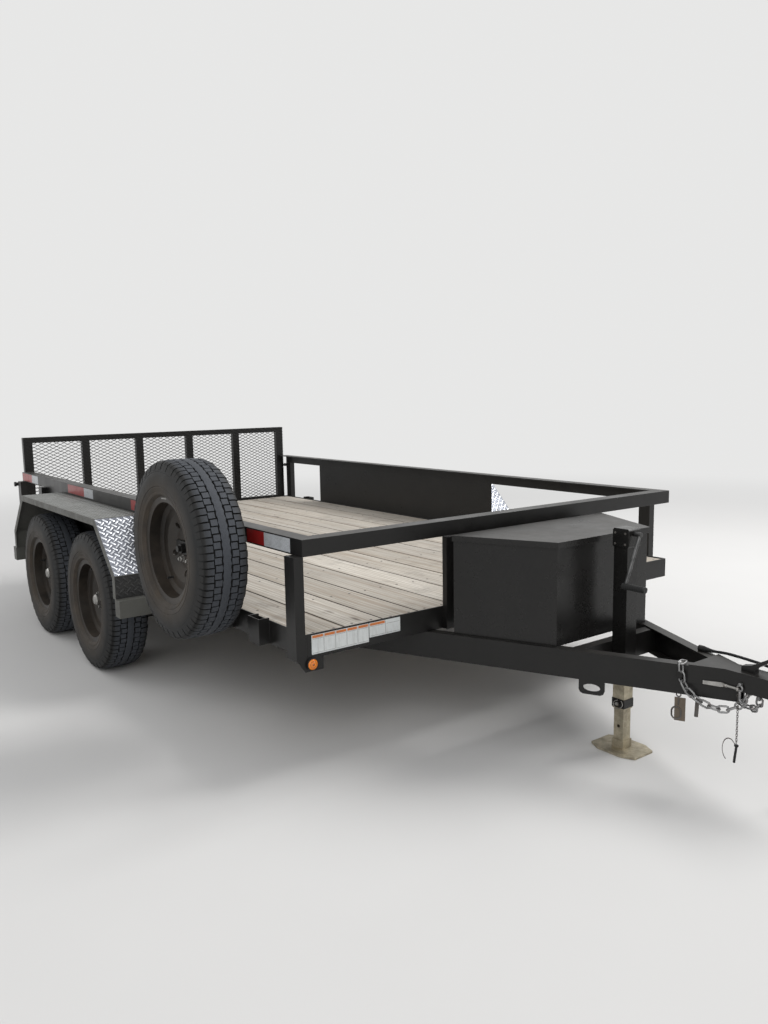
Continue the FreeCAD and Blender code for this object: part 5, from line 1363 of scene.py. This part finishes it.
@dataclass
class Chains:
    """Safety chains of round wire, their hooks, and the small fittings at the tongue's end."""

    wire: float = 0.0035
    inside: float = 0.030
    width: float = 0.0146
    slack: float = 0.0009
    small: float = 0.27
    small_pitch: float = 0.0079
    small_links: int = 20
    eye: Triple = (-0.112, -0.0475, -0.006)
    blade: Triple = (-0.1985, -0.0563, -0.0105)
    pin_top: Triple = (-0.118, -0.0445, -0.036)
    snap: Triple = (-0.3050, -0.0900, -0.066)
    strap: Triple = (-0.252, -0.0640, -0.1080)

    def build(self) -> None:
        """Hang both chains and the fittings."""
        right = ((862, 106, 398), (863, 106, 383), (867, 104, 366), (875, 101, 349), (888, 97, 334),
                 (905, 91, 321), (925, 84, 309), (947, 75, 300), (968, 66, 295), (988, 56, 294),
                 (1006, 46, 298), (1022, 35, 307), (1034, 24, 320), (1042, 13, 336), (1046, 5, 355),
                 (1048, 0, 378), (1048, 0, 398))
        left = right[:7] + ((950, 75, 298), (978, 64, 290), (1006, 53, 286), (1030, 43, 287), (1050, 32, 294),
                            (1066, 21, 308), (1075, 11, 328), (1079, 4, 350), (1080, 0, 376), (1080, 0, 412))
        links = Shape()
        for sign, stops in ((-1, right), (1, left)):
            for number, (start, end) in enumerate(self.meets(hung(stops, sign), self.inside - self.slack)):
                self.link(links, start, end, number % 2 == 1)
        tail = (Vector((-0.2885, -0.1045, 0.0150)), Vector((-0.2935, -0.1010, 0.0425)),
                Vector((-0.3000, -0.0730, 0.0445)))
        for number, (start, end) in enumerate(zip(tail, tail[1:])):
            self.link(links, start, end, number % 2 == 0)
        chains = links.piece("chain_links", Finish.CHAIN, "chain_steel", smooth=60.0)
        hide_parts("safety_chains")
        self.hooks()
        self.pin()
        self.tag()

    def meets(self, stops: list[Vector], step: float) -> list[tuple[Vector, Vector]]:
        """Where each link of a chain starts and ends along its hang.

        Args:
            stops: Places that the chain hangs through.
            step: Length of a link between its neighbours.

        Returns:
            Start and end of every link.
        """
        marks, here = [stops[0]], stops[0]
        for start, end in zip(stops, stops[1:]):
            while (end - here).length >= step:
                low, high = 0.0, 1.0
                for _ in range(40):
                    middle = (low + high) / 2
                    if (start.lerp(end, middle) - here).length < step:
                        low = middle
                    else:
                        high = middle
                here = start.lerp(end, high)
                marks.append(here)
        return list(zip(marks, marks[1:]))

    def link(self, shape: Shape, start: Vector, end: Vector, upright: bool, size: float = 1.0) -> None:
        """Add one oval link between two places.

        Args:
            shape: The mesh that grows.
            start: Where the link before it hangs.
            end: Where the link after it hangs.
            upright: Whether it is turned a quarter from the first.
            size: Scale of the link.
        """
        course = (end - start).normalized()
        up = Vector((0, 1, 0)) if abs(course.y) < 0.9 else Vector((0, 0, 1))
        normal = (up - course * up.dot(course)).normalized()
        basis = aligned(course, normal.cross(course), normal)
        turn = turned(QUARTER if upright else 0.0, "X")
        bend = (self.width / 2 + self.wire) * size
        pull = (self.inside / 2 + self.wire) * size - bend
        shape.ring(bend, self.wire * size, moved((start + end) / 2) @ basis @ turn, 12, 7, pull)

    def hooks(self) -> None:
        """A hook with its eye on the coupler's side, and the flat blade of its latch."""
        hook = Shape()
        eye = Vector(self.eye)
        flat = turned(QUARTER, "X")
        hook.ring(0.0085, 0.0034, moved(eye) @ flat, 18, 8)
        hook.rod(0.0040, 0.024, eye + Vector((0, 0, -0.022)), Axis.Z, 10, 0.0008)
        bow = moved(eye + Vector((0.0130, 0, -0.034))) @ flat @ turned(QUARTER, "Z")
        hook.ring(0.0130, 0.0040, bow, 24, 8, 0.0, math.radians(215))
        hook.rod(0.0060, 0.016, eye + Vector((0, 0.0035, 0.012)), Axis.Y, 6, 0.0008)
        hook.piece("chain_hook", Finish.CHAIN, "chain_steel", smooth=60.0)
        blade = Shape()
        lean = turned(BEAM_TURN, "Z")
        outline = [(-0.034, -0.0060), (0.022, -0.0085), (0.033, -0.0055), (0.033, 0.0045), (0.022, 0.0070),
                   (-0.034, 0.0055)]
        blade.drawn(outline, 0.0040, moved(self.blade) @ lean @ turned(QUARTER, "X"))
        blade.rod(0.0042, 0.052, (-0.1440, -0.0444, -0.0110), Axis.X, 12, 0.0008)
        blade.rod(0.0062, 0.012, (-0.1640, -0.0446, -0.0110), Axis.X, 6, 0.0008)
        blade.rod(0.0070, 0.007, (-0.1190, -0.0470, -0.0110), Axis.X, 14, 0.0012)
        blade.piece("hook_blade", Finish.STEEL, "chain_steel")

    def pin(self) -> None:
        """The coupler's locking pin on its small chain, with a spring wire bow."""
        small = Shape()
        x, y, top = self.pin_top
        for i in range(self.small_links):
            start = Vector((x, y, top - self.small_pitch * i))
            end = Vector((x, y, top - self.small_pitch * (i + 1)))
            self.link(small, start, end, i % 2 == 1, self.small)
        small.ring(0.0050, 0.0012, moved((x, y, top + 0.0035)) @ Axis.Y.turn(), 12, 6)
        low = top - self.small_pitch * self.small_links
        bow = (moved((x - 0.024, y, low - 0.030)) @ turned(QUARTER, "X")
               @ Matrix.Diagonal((0.95, 1.5, 1.0, 1.0)))
        small.ring(0.0260, 0.0013, bow @ turned(math.radians(-62), "Z"), 30, 6, 0.0, math.radians(215))
        small.piece("pin_chain", Finish.OLD_STEEL, "chain_steel", smooth=60.0)
        pin = Shape()
        lean = turned(math.radians(6), "Y")
        pin.rod(0.0040, 0.064, (x - 0.002, y, low - 0.036), Axis.Z, 12, 0.0012, turn=lean)
        pin.rod(0.0072, 0.006, (x + 0.0005, y, low - 0.008), Axis.Z, 12, 0.001, turn=lean)
        pin.piece("coupler_pin", Finish.JACKET, "plug_plastic")

    def tag(self) -> None:
        """A snap hook with a plain brown tag, and a short strap, below the right beam."""
        beam = turned(BEAM_TURN, "Z")
        spot = Vector(self.snap)
        board = Shape()
        board.block((0.036, 0.0012, 0.082), spot + Vector((0.004, 0.003, -0.056)), 0.0005, beam)
        board.piece("beam_tag", Finish.TAG, "black_paint")
        snap = Shape()
        flat = beam @ turned(QUARTER, "X")
        snap.ring(0.0072, 0.0022, moved(spot + Vector((0, 0, -0.0050))) @ flat, 16, 8)
        snap.rod(0.0026, 0.030, spot + Vector((0, 0, -0.026)), Axis.Z, 10, 0.0005)
        snap.ring(0.0150, 0.0030, moved(spot + Vector((-0.006, -0.003, -0.070))) @ flat
                  @ turned(QUARTER, "Z"), 24, 8, 0.006)
        end = Vector(self.strap)
        snap.rod(0.0045, 0.014, end + Vector((0, 0, 0.036)), Axis.Z, 10, 0.0006)
        snap.piece("snap_hook", Finish.OLD_STEEL, "chain_steel", smooth=60.0)
        strap = Shape()
        strap.block((0.013, 0.0030, 0.066), end, 0.0010, beam @ turned(0.05, "Y"))
        strap.piece("beam_strap", Finish.OLD_STEEL, "chain_steel")


@dataclass
class Jack:
    """Small parts of the drop-leg jack: the strap and clip at its joint, and its head's screws."""

    place: float = -0.601
    ram: float = 0.051
    joint: float = -0.203
    wall: float = 0.0022
    strap_high: float = 0.034
    head_height: float = 0.418
    grip_start: Triple = (-0.545, -0.0785, 0.2587)
    grip_pitch: float = 0.0095
    grip_rings: int = 9

    def build(self) -> None:
        """Fit the strap, the clip and the screws."""
        strap = Shape()
        half = self.ram / 2
        front = -half - self.wall
        for _, sign in SIDES:
            aside = sign * (half + self.wall / 2)
            over = self.ram + 2 * self.wall
            strap.block((over, self.wall, self.strap_high), (self.place, aside, self.joint), 0.0005)
            strap.block((self.wall, self.ram, self.strap_high), (self.place + aside, 0, self.joint), 0.0005)
        strap.rod(0.0095, 0.004, (self.place, front - 0.002, self.joint), Axis.Y, 16, 0.0008)
        strap.piece("jack_strap", Finish.JACK_BLACK, "black_paint", "jack")
        clip = Shape()
        clip.rod(0.0062, 0.012, (self.place, front - 0.006, self.joint), Axis.Y, 14, 0.001)
        side = moved((self.place + 0.004, front - 0.0045, self.joint - 0.002))
        clip.ring(0.0150, 0.0013, side @ turned(QUARTER, "X") @ turned(0.5, "Z"),
                  24, 6, 0.006, math.radians(300))
        clip.piece("jack_pin_clip", Finish.STEEL, "hub_steel", "jack")
        screws = Shape()
        for x in (-0.022, 0.022):
            for z in (-0.020, 0.020):
                spot = (self.place + x, -0.0350, self.head_height + z)
                screws.rod(0.0046, 0.003, spot, Axis.Y, 6, 0.0006)
        screws.piece("jack_head_screws", Finish.OLD_STEEL, "hub_steel")
        grip = Shape()
        outline = [(0.0, 0.0106), (0.0, 0.0114), (0.0010, 0.0118), (0.0050, 0.0118), (0.0060, 0.0114),
                   (0.0060, 0.0106)]
        for i in range(self.grip_rings):
            grip.spun(outline, Vector(self.grip_start) + Vector((self.grip_pitch * i, 0, 0)), Axis.X, 20)
        grip.piece("crank_grip_rings", Finish.JACKET, "plug_plastic")


@dataclass
class Welds:
    """Weld beads where posts meet the rails and the frame, and along the tongue's joints."""

    radius: float = 0.0028
    pitch: float = 0.0042
    aside: float = 1.0375
    half_post: float = 0.031
    front_post: float = 0.383
    half_front: float = 0.024
    front_foot: float = 0.125

    def build(self) -> None:
        """Lay every bead."""
        beads = Shape()
        right_posts = (DECK_FRONT - 0.032, -1.730, DECK_REAR + 0.032)
        left_posts = (DECK_FRONT - 0.132, DECK_REAR + 0.032)
        for sign, posts in ((-1, right_posts), (1, left_posts)):
            for x in posts:
                y = sign * self.aside
                self.bead(beads, (x - self.half_post, y, RAIL_LOW), (x + self.half_post, y, RAIL_LOW))
        for _, sign in SIDES:
            for z in (RAIL_LOW, self.front_foot):
                y = sign * self.front_post
                self.bead(beads, (DECK_FRONT, y - self.half_front, z), (DECK_FRONT, y + self.half_front, z))
        for _, sign in SIDES:
            self.bead(beads, (-0.672, sign * 0.250, 0.031), (-0.631, sign * 0.232, 0.031))
        beads.piece("weld_beads", Finish.GEAR, "black_paint")

    def bead(self, shape: Shape, start: Triple, end: Triple) -> None:
        """Lay one bead of overlapping ripples.

        Args:
            shape: The mesh that grows.
            start: Where it begins.
            end: Where it ends.
        """
        first, last = Vector(start), Vector(end)
        count = max(3, round((last - first).length / self.pitch))
        for i in range(count):
            spot = first.lerp(last, (i + 0.5) / count)
            place = moved(spot) @ (last - first).to_track_quat("X", "Z").to_matrix().to_4x4()
            bmesh.ops.create_icosphere(shape.mesh, subdivisions=1, radius=self.radius,
                                       matrix=place @ Matrix.Diagonal((1.25, 1.0, 1.0, 1.0)))


@dataclass
class Solids:
    """Finishes and softened edges of the bare solids."""

    nodes: dict

    def build(self) -> None:
        """Give every bare solid its finish, and every steel section a rounded edge."""
        for name, thing in self.nodes.items():
            thing.data.materials.clear()
            thing.data.materials.append(self.choose(name).material)
            width = self.edge(name)
            if width:
                self.soften(thing, width)
        LOG.info("%d solids have their finish", len(self.nodes))

    def choose(self, name: str) -> Finish:
        """The finish of a solid by its name.

        Args:
            name: The solid's name.

        Returns:
            The finish.
        """
        exact = {"deck_boards": Finish.BOARDS, "jack_leg": Finish.ZINC, "marker_lamps": Finish.AMBER,
                 "tail_lamps": Finish.RED, "gate_mesh": Finish.MESH, "safety_chains": Finish.CHAIN,
                 "toolbox_body": Finish.BOX_SIDE, "toolbox_lid": Finish.BOX_SIDE,
                 "wiring_cable": Finish.JACKET, "wiring_plug": Finish.JACKET, "jack_crank": Finish.CRANK,
                 "jack_housing": Finish.JACK_BLACK}
        if name in exact:
            return exact[name]
        words = {"fender": Finish.FENDER, "rim": Finish.RIM, "tyre": Finish.RUBBER, "hub": Finish.HUBS,
                 "axle": Finish.GEAR, "spring": Finish.GEAR, "crossmember": Finish.GEAR}
        for word, finish in words.items():
            if word in name and "tongue" not in name:
                return finish
        return Finish.BLACK

    def edge(self, name: str) -> float:
        """Width of a solid's edge rounding, or 0 for none.

        Args:
            name: The solid's name.

        Returns:
            The width.
        """
        if name.startswith(("tyre", "rim", "hub", "spare_t", "spare_r", "gate_mesh", "marker", "tail",
                            "wiring", "safety", "leaf", "axle", "jack_crank")):
            return 0.0
        if name.startswith(("fender", "side_panel", "toolbox", "crossmember")):
            return 0.0009
        if name == "deck_boards":
            return 0.0032
        return 0.0014

    def soften(self, thing: bpy.types.Object, width: float) -> None:
        """Round a solid's edges by modifiers, and shade its flat faces flat.

        Args:
            thing: The solid's object.
            width: Width of the rounding.
        """
        weld = thing.modifiers.new("join", "WELD")
        weld.merge_threshold = 0.00001
        bevel = thing.modifiers.new("round", "BEVEL")
        bevel.width = width
        bevel.segments = 2
        bevel.limit_method = "ANGLE"
        bevel.angle_limit = math.radians(40)
        bevel.use_clamp_overlap = True
        thing.modifiers.new("shade", "WEIGHTED_NORMAL")
        thing.data.polygons.foreach_set("use_smooth", [True] * len(thing.data.polygons))


def main() -> None:
    """Dress the trailer and set up the picture."""
    logging.basicConfig(level=logging.INFO, format="%(message)s")
    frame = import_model()
    bpy.context.scene.view_settings.view_transform = "Standard"
    Studio().build()
    Wiring().build()
    Solids(frame["nodes"]).build()
    for assembly in (Tyres(), Wheels(), Fenders(), Deck(), Markings(), Lamps(), Chains(), Jack(), Welds()):
        assembly.build()


if __name__ == "__main__":
    main()
